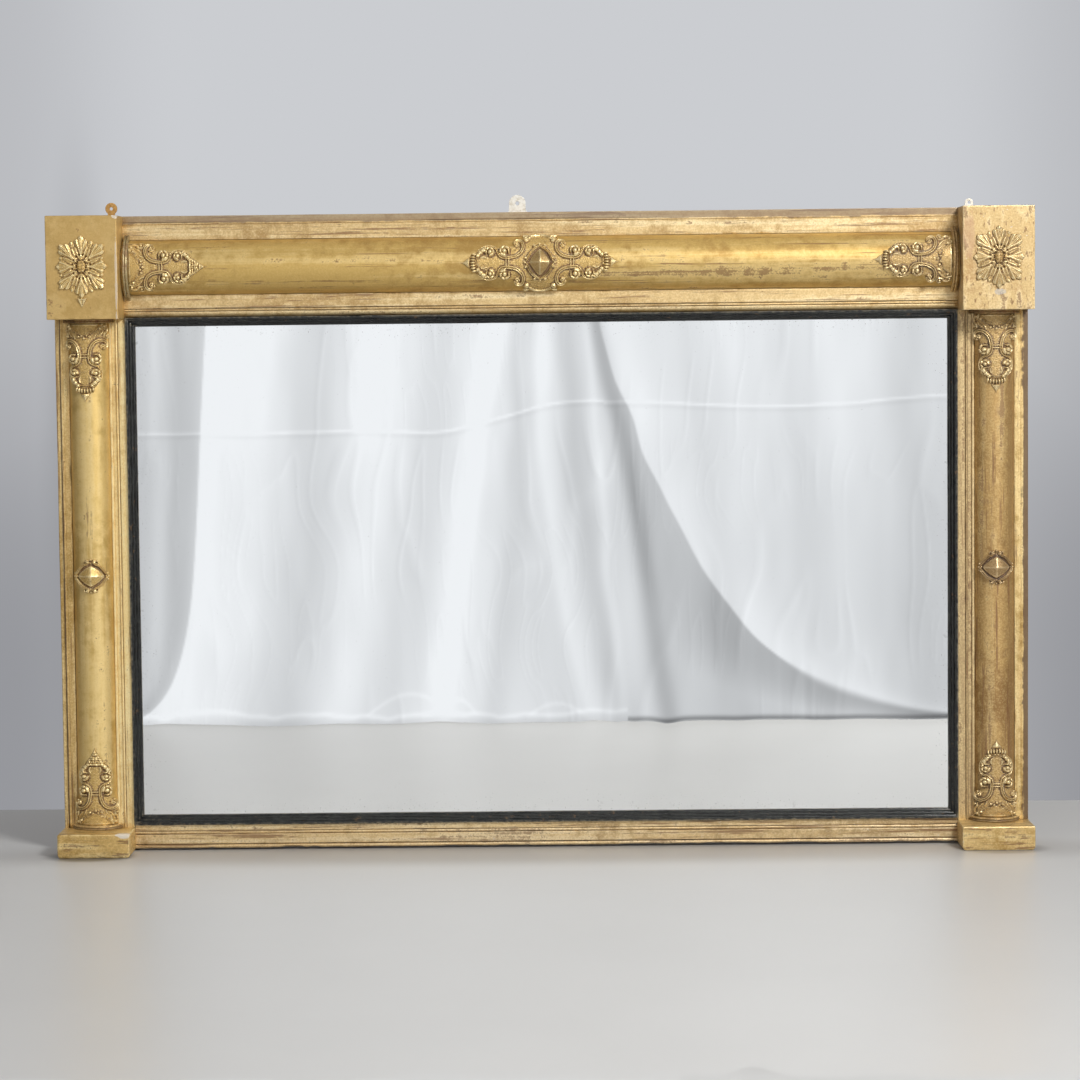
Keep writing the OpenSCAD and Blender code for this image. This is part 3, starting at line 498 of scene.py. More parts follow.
class Casting:
    """The mould of an ornament, flat and in millimetres: s along it, t across it, h its height."""

    def __init__(self, s_span, t_span, pitch):
        self.s, self.t = np.meshgrid(np.arange(s_span[0], s_span[1] + pitch / 2, pitch),
                                     np.arange(t_span[0], t_span[1] + pitch / 2, pitch), indexing="ij")
        self.h = np.full(self.s.shape, SEAT - 1)

    def window(self, low, high):
        i = np.searchsorted(self.s[:, 0], (low[0], high[0]))
        j = np.searchsorted(self.t[0], (low[1], high[1]))
        return np.s_[i[0]:i[1], j[0]:j[1]]

    def stand(self, window, face, wall):
        self.h[window] = np.maximum(self.h[window], np.minimum(face, wall))

    def near(self, path, reach):
        """Distance from a path and the share of its length, over the window round it."""
        window = self.window(path.min(0) - reach, path.max(0) + reach)
        s, t = self.s[window], self.t[window]
        best, share = np.full(s.shape, 1e9), np.zeros(s.shape)
        for k in range(len(path) - 1):
            a, way = path[k], path[k + 1] - path[k]
            u = np.clip(((s - a[0]) * way[0] + (t - a[1]) * way[1]) / max(way @ way, 1e-9), 0, 1)
            d = (s - a[0] - u * way[0]) ** 2 + (t - a[1] - u * way[1]) ** 2
            share = np.where(d < best, (k + u) / (len(path) - 1), share)
            best = np.minimum(best, d)
        return window, np.sqrt(best), share

    def ground(self, outline, thick, grain=0.5):
        """The thin ground inside a flat outline, covered with punch marks."""
        path = np.array(list(outline) + [outline[0]], float)
        window, d, _ = self.near(path, 4)
        s, t = self.s[window], self.t[window]
        inside = np.zeros(s.shape, bool)
        for a, b in zip(path[:-1], path[1:]):
            crosses = (a[1] > t) != (b[1] > t)
            inside ^= crosses & (s < (b[0] - a[0]) * (t - a[1]) / (b[1] - a[1] + 1e-12) + a[0])
        depth = np.where(inside, d, -d)
        self.stand(window, thick + grain * pebbles(s, t, 2.1), depth * DRAFT)

    def bar(self, points, half, top, ridges=2, ends=(0.55, 0.55)):
        """A scrolling bar that thins toward its ends, with one crown or two and a groove between."""
        window, d, u = self.near(smooth_path(points), half + 1.2)
        w = half * np.interp(u, (0, 0.2, 0.8, 1), (ends[0], 1, 1, ends[1]))
        q = d / w
        if ridges == 2:
            crown = np.maximum(np.sqrt(np.clip(1 - ((q - 0.56) / 0.44) ** 2, 0, 1)), 0.2 * (q < 0.6))
        else:
            crown = np.sqrt(np.clip(1 - q ** 2, 0, 1))
        self.stand(window, top * (0.3 + 0.7 * crown), (w - d) * DRAFT)

    def dome(self, s, t, a, b, top, turn=0.0, flat=0.0):
        """A rounded lobe with half lengths a and b, its long way turned from s."""
        r = max(a, b) + 0.8
        window = self.window((s - r, t - r), (s + r, t + r))
        c, k = math.cos(math.radians(turn)), math.sin(math.radians(turn))
        ds, dt = self.s[window] - s, self.t[window] - t
        q = np.hypot((ds * c + dt * k) / a, (dt * c - ds * k) / b)
        face = top * (0.35 + 0.65 * np.sqrt(np.clip(1 - (np.maximum(q - flat, 0) / (1 - flat)) ** 2, 0, 1)))
        self.stand(window, face, (1 - q) * min(a, b) * DRAFT)

    def sink(self, s, t, r, depth):
        """A drilled hole, no deeper than the ground."""
        window = self.window((s - 3 * r, t - 3 * r), (s + 3 * r, t + 3 * r))
        h = self.h[window]
        d2 = (self.s[window] - s) ** 2 + (self.t[window] - t) ** 2
        self.h[window] = np.where(h > 0.5, np.maximum(h - depth * np.exp(-d2 / r ** 2), 0.5), h)

    def groove(self, points, half, depth):
        """A cut line along a path."""
        window, d, _ = self.near(smooth_path(points), 3 * half)
        h = self.h[window]
        self.h[window] = np.where(h > 0.5, np.maximum(h - depth * np.exp(-(d / half) ** 2), 0.5), h)

    def leaf(self, points, half, top, ribs=1, lobes=0, full=0.6, fall=0.0):
        """A leaf along a path, widest at the share full, with cut ribs and a lobed edge."""
        window, d, u = self.near(smooth_path(points), half + 1.5)
        u = np.clip(u, 0.001, 0.999)
        widening = np.sin(np.minimum(u / full, 1) * math.pi / 2) ** 0.8
        w = half * widening * np.cos(np.maximum(u - full, 0) / (1 - full) * math.pi / 2) ** 0.55
        w = np.maximum(w * (1 + (0.2 * np.cos(2 * math.pi * lobes * u) if lobes else 0)), 0.4)
        q = np.clip(d / w, 0, 1.3)
        face = 0.4 + 0.6 * np.sqrt(np.clip(1 - q ** 2, 0, 1)) + 0.1 * np.cos(q * math.pi * 2 * ribs) - 0.1
        self.stand(window, face * top * (1 - fall * u), (w - d) * DRAFT)

    def volute(self, s, t, r, top, turn):
        """A knob wound one and a half times, like a snail's shell."""
        reach = r + 0.8
        window = self.window((s - reach, t - reach), (s + reach, t + reach))
        ds, dt = self.s[window] - s, self.t[window] - t
        q = np.hypot(ds, dt) / r
        wind = np.cos(np.arctan2(dt, ds) - math.radians(turn) - 3 * math.pi * q)
        face = 0.5 + 0.5 * np.sqrt(np.clip(1 - q * q, 0, 1)) + 0.17 * wind * ramp(q, 0.12, 0.4)
        self.stand(window, face * top, (1 - q) * r * DRAFT)
        self.sink(s, t, 0.1 * r + 0.2, top * 0.3)

    def knob(self, s, t, r, top, turn=0.0, sense=1):
        """A ball held in a lobed leaf that curls round it."""
        def at(share, k, ahead=0.0):
            a = math.radians(turn + sense * 42 * k) + ahead
            return s + r * share * math.cos(a), t + r * share * math.sin(a)

        self.bar([at(0.76 - 0.025 * k, k) for k in range(8)], 0.31 * r, top * 0.82, 1, (0.45, 1.0))
        for k in (1.2, 2.6, 4.0, 5.4):
            self.groove([at(0.58, k), at(1.1, k, 0.3)], 0.5, top * 0.3)
        self.dome(s, t, 0.47 * r, 0.47 * r, top)

    def mirrored(self, s=False):
        """The whole casting from its half, or from its quarter."""
        self.s, self.h = [np.concatenate([a[:, :0:-1], a], 1) for a in (self.s, self.h)]
        self.t = np.concatenate([-self.t[:, :0:-1], self.t], 1)
        if s:
            self.t, self.h = [np.concatenate([a[:0:-1], a], 0) for a in (self.t, self.h)]
            self.s = np.concatenate([-self.s[:0:-1], self.s], 0)
        return self


def blurred(field, radius):
    """A field averaged over a square of cells, twice over."""
    for _ in range(2):
        for axis in (0, 1):
            pad = [(radius + 1, radius) if k == axis else (0, 0) for k in (0, 1)]
            run = np.cumsum(np.pad(field, pad, mode="edge"), axis)
            size = 2 * radius + 1
            run = np.moveaxis(run, axis, 0)
            field = np.moveaxis((run[size:] - run[:-size]) / size, 0, axis)
    return field


def cast(name, mould, place, finish, slot, node, seed=0.0):
    """Casts a mould: the sheet of heights is cut to the outline, closed below and laid in its place."""
    s, t = mould.s, mould.t
    pitch = s[1, 0] - s[0, 0]
    uneven = swell((s, t), 7, seed) * 0.22 + swell((s, t), 1.7, seed + 1) * 0.1
    h = mould.h + np.where(mould.h > 0.3, uneven, 0)
    h = 0.6 * h + 0.4 * blurred(h, 1) if pitch < 0.8 else h
    seen = np.maximum(h, 0)
    fine, broad = seen - blurred(seen, round(1.4 / pitch)), seen - blurred(seen, round(3.5 / pitch))
    relief = 0.5 + np.clip(fine * 0.42 + broad * 0.12, -0.5, 0.5)
    h = np.maximum(h, SEAT)
    rows, columns = s.shape
    bm = bmesh.new()
    bmesh.ops.create_grid(bm, x_segments=rows - 1, y_segments=columns - 1, size=0.5)
    grid = np.array([v.co[:2] for v in bm.verts])
    i = np.rint((grid[:, 0] + 0.5) * (rows - 1)).astype(int)
    j = np.rint((grid[:, 1] + 0.5) * (columns - 1)).astype(int)
    at = place(s[i, j] * MM, t[i, j] * MM, h[i, j] * MM)
    keep = h > SEAT + 0.01
    wide = keep.copy()
    for k in (-1, 1):
        for axis in (0, 1):
            wide |= np.roll(keep, k, axis)
    drop = ~wide[i, j]
    layer = bm.verts.layers.float.new("relief")
    bm.verts.ensure_lookup_table()
    for v, p, mark in zip(bm.verts, at, relief[i, j]):
        v.co = p
        v[layer] = mark
    bmesh.ops.delete(bm, geom=[v for v, gone in zip(bm.verts, drop) if gone], context="VERTS")
    while True:
        pinched = [v for v in bm.verts if sum(e.is_boundary for e in v.link_edges) != 2 and v.is_boundary
                   or not v.link_faces]
        if not pinched:
            break
        bmesh.ops.delete(bm, geom=pinched, context="VERTS")
    bmesh.ops.edgeloop_fill(bm, edges=[e for e in bm.edges if e.is_boundary])
    bmesh.ops.recalc_face_normals(bm, faces=bm.faces[:])
    return piece(name, bm, finish, slot, node, sharp=75)


LIFT = 0.0001    # how far a casting's ground stands off its column


def on_frieze(heel, way, turned=0.0):
    """Lays a casting on the frieze column, s running from its heel along x."""
    def place(s, t, h):
        a = (t + turned) / frieze_r
        q = frieze_r + h + LIFT
        return np.stack([heel + way * s, carcass_y - q * np.cos(a), frieze_z + q * np.sin(a)], 1)
    return place


def on_column(x, heel, way, turned=0.0):
    """Lays a casting on a side column, s running from its heel up or down."""
    def place(s, t, h):
        a = (t + turned) / column_r
        q = column_r + h + LIFT
        return np.stack([x + q * np.sin(a), carcass_y - q * np.cos(a), heel + way * s], 1)
    return place


def on_block(x, z, front):
    """Lays a casting on a corner block's face, s to the right and t up."""
    def place(s, t, h):
        return np.stack([x + s, front - h, z + t], 1)
    return place


def spray(c, rough=False):
    """Half of the spray: a scroll, three balls in curled leaves, a crest, and a gadroon or a rough tip."""
    s, t = c.s, c.t
    c.ground([(18, -1), (18, 30), (26, 33), (33, 30), (37, 23.5), (49, 24), (57, 21), (66, 24), (76, 23),
              (84, 17.6), (90, 11.5), (96, 6.4), (105, 0.8), (105, -1)], 1.1)
    c.bar([(34.5, 26.5), (32.5, 29.6), (27.6, 30.8), (23.6, 27), (22.8, 20.4), (25.6, 13.4), (31.6, 8.8),
           (39, 6.8), (46, 6.2), (53, 7.4), (57, 12.2)], 2.5, 5.2, 2, (0.8, 0.8))
    c.knob(31.6, 24.0, 4.2, 6.0, 30)
    c.knob(48.6, 14.6, 8.4, 8.0, 200, -1)
    c.knob(68.4, 13.8, 7.4, 7.4, -30)
    c.bar([(57, 9.5), (57.6, 13.3), (60, 18.6), (66.6, 21.9), (75.7, 21), (83.4, 15.4),
           (87.4, 10.2)], 1.9, 4.4)
    for x, y, r in ((76.4, 17.2, 4.8), (80.8, 13.6, 4.4), (84.6, 9.6, 4.0)):
        c.dome(x, y, r, r * 0.8, 5.6, -38, 0.3)
        c.groove([(x - 3.4, y - 1.6), (x - 0.6, y + 0.6), (x + 1.6, y + 3.4)], 0.5, 1.5)
    c.leaf([(72, 5.5), (77, 7.6), (82, 6.2)], 1.8, 3.4)
    for x in (42.6, 46.4):
        c.bar([(x, -1), (x, 6.4)], 1.1, 3.8, 1, (1, 0.8))
    if rough:
        width = np.interp(s, (84, 105.6), (13.2, 0.5))
        face = 4.2 + 1.2 * swell((s, t), 3.0, 5) + 0.9 * swell((s * 0.5, t), 1.3, 6) + np.where(t < 2, 0.9, 0)
        c.stand(np.s_[:, :], face, np.minimum(width - t, s - 83.4) * DRAFT)
        for k in range(5):
            c.groove([(86 + 3.4 * k, -1), (87.4 + 3.3 * k, 3.2), (86.2 + 3.3 * k, 12 - 2.2 * k)], 0.6, 1.6)
        c.bar([(84, -1), (84.6, 6), (84.2, 12.4)], 1.2, 4.6, 1)
        return
    c.bar([(85.4, -1), (85.2, 4), (84.4, 7.6)], 0.8, 3.8, 1)
    c.bar([(87.6, -1), (87.3, 6), (86.4, 11.4)], 0.8, 3.8, 1)
    for k, top in enumerate((6.4, 6.2, 5.9, 5.5)):
        c.dome(92.2 - 0.2 * k * k, 3.5 * k, 4.6, 2.0, top, 3 * k)
    width = np.interp(s, (96.4, 105.8), (7.6, 0.7))
    c.stand(np.s_[:, :], np.interp(s, (96.4, 98.4, 105.6), (3.4, 4.7, 2.0)) - 0.5 * t,
            np.minimum(width - t, s - 96.2) * DRAFT)


def end_mould(rough, pitch):
    """The ornament at a column's end: a double-lined brace and leaf volutes at its heel, then the spray."""
    c = Casting((0, 108), (0, 38), pitch)
    c.ground([(0.2, -1), (0.2, 33), (8, 33.5), (14, 34.6), (20, 32), (22, 28), (24, -1)], 1.1)
    c.ground([(0.2, -1), (0.2, 23), (5, 16.6), (10.4, 11.8), (12.2, 6.6), (15.6, 2), (15.6, -1)], 2.1, 0.0)
    spray(c, rough)
    c.bar([(0.5, 24), (5.5, 17.5), (11, 12.5), (12.8, 7), (16.5, 2.2)], 1.5, 4.0, 2, (0.8, 0.7))
    for s, t, r, top in ((6.3, 21, 2.2, 4.4), (17.8, 7.5, 2.2, 4.6), (20, 0, 2.2, 4.8),
                         (16.6, 3.4, 1.8, 4.4)):
        c.dome(s, t, r, r, top)
    c.leaf([(1.7, 32.4), (7, 32.6), (11.5, 31), (13.8, 27.5), (19.5, 27)], 2.2, 4.2, 1, 3)
    c.bar([(14.3, 35.4), (18.6, 34.8), (20.6, 32), (19, 28)], 1.4, 4.2)
    c.volute(16.6, 31, 2.3, 4.8, 90)
    c.dome(3.4, 28.4, 2.0, 2.0, 4.0)
    c.leaf([(8.4, 26.4), (13, 24.2), (18, 19)], 1.8, 3.2, 1, 2)
    c.leaf([(13, 18), (17, 14.6), (22, 13)], 1.5, 2.8)
    return c.mirrored()


def kite(c, a, b, top):
    """A quarter of a four-faced point with full edges."""
    s, t = c.s / a, c.t / b
    inside = (s < 1.2) & (t < 1.2)
    c.stand(np.s_[:, :], np.where(inside, top - (top - 2.4) * (s + t) * 0.8, -9),
            np.where(inside, (1 - s ** 1.2 - t ** 1.2) * min(a, b) * 2.0, -9))


def centre_mould(pitch):
    """The frieze's middle ornament: the point in its frame, its beads and arcs, and a spray on each side."""
    c = Casting((0, 108), (0, 49), pitch)
    c.ground([(-1, -1), (-1, 45.6), (12, 45), (20, 43), (24, 38), (24, 30), (24, -1)], 1.1)
    spray(c)
    kite(c, 15.8, 18.8, 9.6)
    c.bar([(0.8, 22.0), (4.2, 19.8), (8.4, 16.8), (12.0, 13.2), (14.6, 9.2), (16.4, 5.2),
           (18.4, 1.6)], 2.1, 6.0)
    c.volute(7.2, 22.2, 2.6, 5.2, 0)
    c.dome(0, 24.6, 1.8, 2.2, 4.8)
    c.dome(20.6, 0, 2.4, 2.2, 5.0)
    c.volute(19.4, 5.6, 2.2, 4.8, 90)
    c.bar([(-1, 44.8), (6, 44), (11.4, 41), (15, 37)], 1.9, 4.2)
    c.volute(18.6, 33, 4.0, 5.4, 60)
    c.leaf([(14.6, 40), (18.6, 43), (23.4, 42.6)], 2.1, 3.8, 1, 2)
    return c.mirrored(s=True)


def boss_mould(pitch):
    """The small boss on a side column: beads on its flanks and volutes above and below."""
    c = Casting((0, 27), (0, 28), pitch)
    c.ground([(-1, -1), (-1, 20), (9, 17), (15, 11), (17, 6), (20, -1)], 1.2, 0.2)
    kite(c, 15.8, 19.0, 9.8)
    c.bar([(1.6, 22.0), (4.4, 19.4), (8.2, 16.4), (12.0, 13.2), (15.0, 9.6), (16.8, 5.8),
           (19.2, 2.0)], 2.1, 6.2)
    c.volute(20.6, 4.6, 2.7, 4.8, 60)
    c.bar([(17.6, 3.0), (21.6, 8.2), (18.6, 9.0)], 1.0, 3.2, 1)
    c.dome(22.6, 0, 2.0, 1.6, 4.4)
    c.dome(0, 24, 1.9, 2.0, 4.4)
    c.dome(4.4, 23.0, 1.9, 1.8, 4.1)
    c.dome(0, 20.4, 1.5, 1.4, 3.8)
    c.bar([(5.4, 21), (8.4, 18.4), (7.6, 15.8)], 1.0, 3.2, 1)
    return c.mirrored(s=True)


def frond(c, heading, length, crown, half, pairs):
    """An acanthus leaf from the middle outward: its centre lobe, and pairs of lobes that branch from it."""
    ahead_s, ahead_t = math.cos(math.radians(heading)), math.sin(math.radians(heading))

    def at(share, aside):
        away = length * share
        return away * ahead_s - aside * ahead_t, away * ahead_t + aside * ahead_s

    for root, tip, out, wide, low in pairs:
        for side in (-1, 1):
            path = [at(root, side * out * 0.1), at(root * 0.45 + tip * 0.55, side * out * 0.62),
                    at(tip, side * out)]
            c.leaf(path, wide, crown * low, 1, 0, 0.68, 0.3)
    c.leaf([at(0.16, 0), at(0.6, 0), at(1, 0)], half, crown, 1, 0, 0.7, 0.36)
    c.groove([at(0.3, 0), at(0.88, 0)], 0.5, 1.3)


def rosette_mould(has_tip, pitch):
    """Eight acanthus leaves over eight plain ones, round an oval pod of berries."""
    c = Casting((-40, 40), (-58, 47), pitch)
    s, t = c.s, c.t
    heading, away = np.arctan2(t, s), np.hypot(s, t)
    oval = 1 / np.hypot(np.cos(heading) / 31, np.sin(heading) / 38)
    c.stand(np.s_[:, :], np.full(s.shape, 1.2), (oval * (0.97 + 0.05 * np.cos(16 * heading)) - away) * 4)
    for k in range(8):
        a = 45 * k + 22.5
        oval = 1 / math.hypot(math.cos(math.radians(a)) / 35, math.sin(math.radians(a)) / 43)
        frond(c, a, oval * 0.9 * (1 + 0.02 * math.sin(k * 2.3)), 3.6, 3.8, [(0.45, 0.85, 4.8, 2.8, 0.88)])
    for k in range(8):
        length = (35, 42.6, 43, 42.6)[k % 4] * (1 + 0.015 * math.sin(k * 3.1))
        frond(c, 45 * k, length, 7.2, 4.8, [(0.2, 0.62, 8.4, 4.0, 0.72), (0.42, 0.88, 6.6, 3.8, 0.84)])
    for k in range(16):
        a = math.radians(22.5 * k + 11.25)
        c.sink(12.5 * math.cos(a), 16.5 * math.sin(a), 1.3, 3.6)
    c.dome(0, 0, 6.4, 9.9, 6.0)
    for row in range(4):
        for side in (-1, 1):
            c.dome(side * 2.4, (row - 1.5) * 4.2, 2.3, 2.3, 10.9 - 0.7 * abs(row - 1.5))
    for k in range(12):
        a = math.radians(30 * k + 15)
        c.dome(7.4 * math.cos(a), 11.2 * math.sin(a), 1.8, 1.4, 5.6, math.degrees(a))
    if has_tip:
        c.bar([(-7.6, -43.6), (0, -44.2), (7.6, -43.6)], 1.1, 3.4, 1)
        c.stand(np.s_[:, :], 1.6 + 0.16 * (t + 56), np.minimum((t + 56) * 0.55 - np.abs(s), -43 - t) * DRAFT)
        c.groove([(0, -46), (0, -53)], 0.7, 0.8)
    return c


# ---------- Finishes of this mirror ----------

ALONG_X = (7, 230, 230)
ALONG_Z = (230, 230, 7)
half_wide = cad_box[1][0]
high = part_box("left_corner_block")[1].z
top_leaf = gilding("Leaf on the frieze mouldings", ALONG_X, rgb(222, 192, 136), rgb(248, 228, 180),
                    rgb(186, 152, 98), streaks=0.16, losses=0.01, marks=[
    ((0, 0, high - 0.0045), (FAR, FAR, 0.0055), rgb(132, 112, 92), 0.7)])
base_leaf = gilding("Rubbed leaf on the base moulding", ALONG_X, rgb(226, 196, 142), rgb(248, 228, 186),
                    rgb(180, 150, 104), streaks=0.22, rubbed=0.16, glints=0.35, losses=0.035,
                    dirt_and_shade=0.4, shift=3)
left_leaf = gilding("Leaf on the left outer moulding", ALONG_Z, rgb(212, 178, 116), streaks=0.16,
                    losses=0.012, shift=7, marks=[
    # A painted shadow line where the outer fillet steps down.
    ((-0.6674, 0, 0), (0.0012, FAR, FAR), rgb(84, 58, 38), 0.75)])
# Leaf painted brighter than the rest, standing in for a highlight.
left_inner_highlit_leaf = gilding("Bright leaf on the left inner moulding", ALONG_Z, rgb(250, 220, 152),
                          rgb(254, 236, 182), rgb(226, 192, 126), streaks=0.07, rubbed=0.04, dirt_and_shade=0.4,
                          satin=0.4, shift=8)
right_leaf = gilding("Leaf on the right outer moulding", ALONG_Z, rgb(226, 194, 134), losses=0.014,
                     shift=11, marks=[
                         ((half_wide, 0, 0), (0.0085, FAR, FAR), rgb(98, 74, 50), 0.9)])
# A darker, greyer leaf than on the other mouldings.
right_inner_leaf = gilding("Darker leaf on the right inner moulding", ALONG_Z, rgb(188, 161, 116),
                           rgb(240, 216, 160), rgb(158, 130, 96), streaks=0.14, rubbed=0.2,
                           losses=0.014, shift=15)
# The column finishes darken their flanks where they meet the flats: dirt and painted shade.
frieze_leaf = gilding("Satin leaf on the frieze column", (4, 170, 170), rgb(206, 172, 100),
                      rgb(228, 200, 136), rgb(180, 144, 78), satin=0.47, speckle=0.15,
                      edge_shade=(Z, frieze_z, frieze_r, 0.4), shift=2)
left_column_leaf = gilding("Satin leaf on the left column", (170, 170, 4), rgb(230, 197, 124),
                           rgb(238, 210, 146), rgb(204, 168, 94), streaks=0.04, rubbed=0.03,
                           satin=0.42, speckle=0.15,
                           edge_shade=(X, -column_x, column_r, 0.15), shift=4)
right_column_leaf = gilding("Mottled leaf on the right column", (150, 150, 6), rgb(193, 157, 99),
                            rgb(228, 200, 142), rgb(154, 118, 70), streaks=0.16, rubbed=0.2, losses=0.012,
                            edge_shade=(X, column_x, column_r, 0.5), shift=6, marks=[
                                # Darker along the right flank: dirt and painted shade.
                                ((column_x + 0.029, 0, 0), (0.013, FAR, FAR), rgb(124, 92, 52), 0.4)])
left_block_leaf = gilding("Ochre leaf on the left block", (110, 110, 110), rgb(202, 168, 104),
                          rgb(212, 180, 118), rgb(190, 156, 92), streaks=0.02, rubbed=0.03,
                          losses=0.005, satin=0.5, shift=1,
                          marks=[((-0.579, -0.041, 0.80), (0.0016, 0.005, 0.055), GESSO, 0.5),
                                 ((-0.578, -0.041, high), (0.006, 0.008, 0.004), GESSO, 0.8)])
right_block_leaf = gilding("Mottled leaf on the right block", (240, 240, 90), rgb(200, 172, 120),
                           rgb(232, 210, 162), rgb(172, 134, 86), streaks=0.12, rubbed=0.14, losses=0.02,
                           speckle=0.3, satin=0.5, shift=9, marks=[
                               ((0.628, -0.043, 0.7675), (0.008, 0.01, 0.0045), rgb(168, 170, 172), 0.5),
                               ((0.585, -0.043, 0.845), (0.008, 0.01, 0.03), rgb(190, 150, 116), 0.45)]
                           + [((x, -0.055, z), halves, rgb(112, 84, 70), 0.6) for x, z, halves in (
                               (0.577, 0, (0.0016, 0.006, FAR)), (half_wide, 0, (0.0016, 0.006, FAR)),
                               (0, 0.7435, (FAR, 0.006, 0.0016)), (0, high, (FAR, 0.006, 0.0014)))])
left_plinth_leaf = gilding("Scratched leaf on the left plinth", (30, 300, 300), rgb(220, 184, 114),
                           streaks=0.16, rubbed=0.1, losses=0.015, shift=5, marks=[
                               ((-0.584, -0.046, 0.0325), (0.0095, 0.012, 0.0042), GESSO, 0.9)])
right_plinth_leaf = gilding("Scratched leaf on the right plinth", (30, 300, 300), rgb(211, 179, 119),
                            streaks=0.18, rubbed=0.14, losses=0.015, shift=8)
dark_leaf = gilding("Dark leaf on the neck rings", (120, 120, 120), rgb(156, 126, 80), rgb(206, 176, 122),
                    rgb(108, 84, 56), streaks=0.2, rubbed=0.25, shift=12)
ring_leaf = gilding("Worn leaf on the base rings", (120, 120, 120), rgb(214, 182, 122), rgb(244, 220, 166),
                    rgb(158, 126, 82), streaks=0.12, rubbed=0.1, losses=0.02, shift=13, marks=[
                        # Darker band at the rings' foot on the plinths: dirt and painted shade.
                        ((0, 0, 0.0345), (FAR, FAR, 0.0028), rgb(86, 66, 46), 0.6)])
collar_leaf = gilding("Greenish leaf on the left collar", (120, 120, 120), rgb(170, 154, 114),
                      rgb(212, 198, 156), rgb(116, 104, 76), streaks=0.16, rubbed=0.2, losses=0.015, shift=14)
bright_cast = composition("Gilded composition", rgb(200, 166, 98), rgb(250, 228, 172), rgb(112, 80, 44),
                          marks=[
    ((0, -0.025, frieze_z), (0.017, FAR, 0.017), rgb(112, 86, 58), 0.5)])
dull_cast = composition("Dull gilded composition", rgb(184, 152, 96), rgb(238, 216, 166), rgb(98, 72, 44), 4)
grey_cast = composition("Darkened composition", rgb(164, 134, 90), rgb(214, 188, 144), rgb(80, 56, 36), 8)
black_slip = ebonised("Black polish on the slip")
mirror_silver = silvering("Silvered plate")
white_plate = plate_paint("White paint on the plates", rgb(236, 234, 224), rgb(206, 200, 184),
                          rgb(112, 84, 58))
gold_plate = plate_paint("Gold paint on the left plate", rgb(202, 158, 92), rgb(166, 122, 68),
                         rgb(104, 70, 44), 0.5)
old_iron = iron("Old iron")
frame_pine = {X: pine("Pine of the rails", X), Z: pine("Pine of the stiles", Z, washed=True)}
board_pine = [pine("Pine of the boards, %s" % tone, Z, colour) for tone, colour in
              (("light", (190, 152, 104)), ("brown", (168, 128, 84)), ("grey", (160, 136, 104)))]
block_pine = pine("Pine of the glue blocks", X, (206, 172, 122))


# ---------- Frame ----------

def lower_edge(at):
    """The base moulding's foot, broken away in shallow bites, most of them near the left plinth."""
    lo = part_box("base_moulding")[0]
    x, z = at[:, X], at[:, Z]
    bite = ramp(swell((x,), 0.045, 3) * 0.6 + swell((x,), 0.012, 5) * 0.4, -0.1, 0.7)
    near_left = np.clip(1.2 - (x - lo.x) / 0.35, 0.25, 1)
    low = ramp(z, lo.z + 0.006, lo.z)
    front = ramp(at[:, Y], carcass_y - 0.002, carcass_y - 0.006)
    at = at.copy()
    at[:, Z] += low * front * bite * near_left * 0.0035
    return at


UNDER_FRIEZE, UNDER_COLUMN = 1.4 * MM, 1.6 * MM
AT_EDGE = 0.7 * MM


def meeting(axis, edge, by):
    """Carries a stick's edge a little way under the column that it meets."""
    def shape(at):
        at = at.copy()
        at[np.abs(at[:, axis] - edge) < AT_EDGE, axis] += by
        return at
    return shape


for node, finish, run in (
        ("frieze_upper_moulding", top_leaf, X), ("frieze_lower_moulding", top_leaf, X),
        ("left_outer_moulding", left_leaf, Z), ("left_inner_moulding", left_inner_highlit_leaf, Z),
        ("right_outer_moulding", right_leaf, Z), ("right_inner_moulding", right_inner_leaf, Z)):
    lo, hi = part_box(node)
    if run == X:
        close = meeting(Z, lo.z, -UNDER_FRIEZE) if "upper" in node else meeting(Z, hi.z, UNDER_FRIEZE)
    else:
        outward = node[:7] in ("right_o", "left_in")
        close = meeting(X, lo.x, -UNDER_COLUMN) if outward else meeting(X, hi.x, UNDER_COLUMN)
    dress(node, finish, "gilding", run, pitch=1.5, soft=0.35, sway=0.3, chips=0.7, shape=close)
dress("base_moulding", base_leaf, "gilding", X, pitch=1.5, step=5, soft=0.35, sway=0.45, chips=1.0,
      shape=lower_edge)
for node, finish, run in (("frieze_column", frieze_leaf, X), ("left_column", left_column_leaf, Z),
                          ("right_column", right_column_leaf, Z)):
    dress(node, finish, "gilding", run, sway=0.35, across=())
for node, finish in (("left_corner_block", left_block_leaf), ("right_corner_block", right_block_leaf)):
    dress(node, finish, "gilding", pitch=1.7, soft=0.9, sway=0.35, chips=1.3)
for node, finish in (("left_plinth", left_plinth_leaf), ("right_plinth", right_plinth_leaf)):
    dress(node, finish, "gilding", pitch=1.7, soft=1.7, sway=0.5, chips=1.8)
for node, finish, slot in (
        ("left_frieze_collar", collar_leaf, "dull_gilding"), ("right_frieze_collar", ring_leaf, "gilding"),
        ("left_neck_ring", dark_leaf, "gilding"), ("right_neck_ring", dark_leaf, "gilding"),
        ("left_base_ring", ring_leaf, "gilding"), ("right_base_ring", ring_leaf, "gilding")):
    dress(node, finish, slot, soft=0.25, sway=0.3, chips=0.5, across=())
for node, run in (("slip_top", X), ("slip_bottom", X), ("slip_left", Z), ("slip_right", Z)):
    dress(node, black_slip, "ebonised_wood", run, soft=0.2, sway=0.25, across=())


def plain(node, finish):
    """Gives a CAD node that keeps its shape its finish."""
    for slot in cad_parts[node].material_slots:
        slot.material = finish


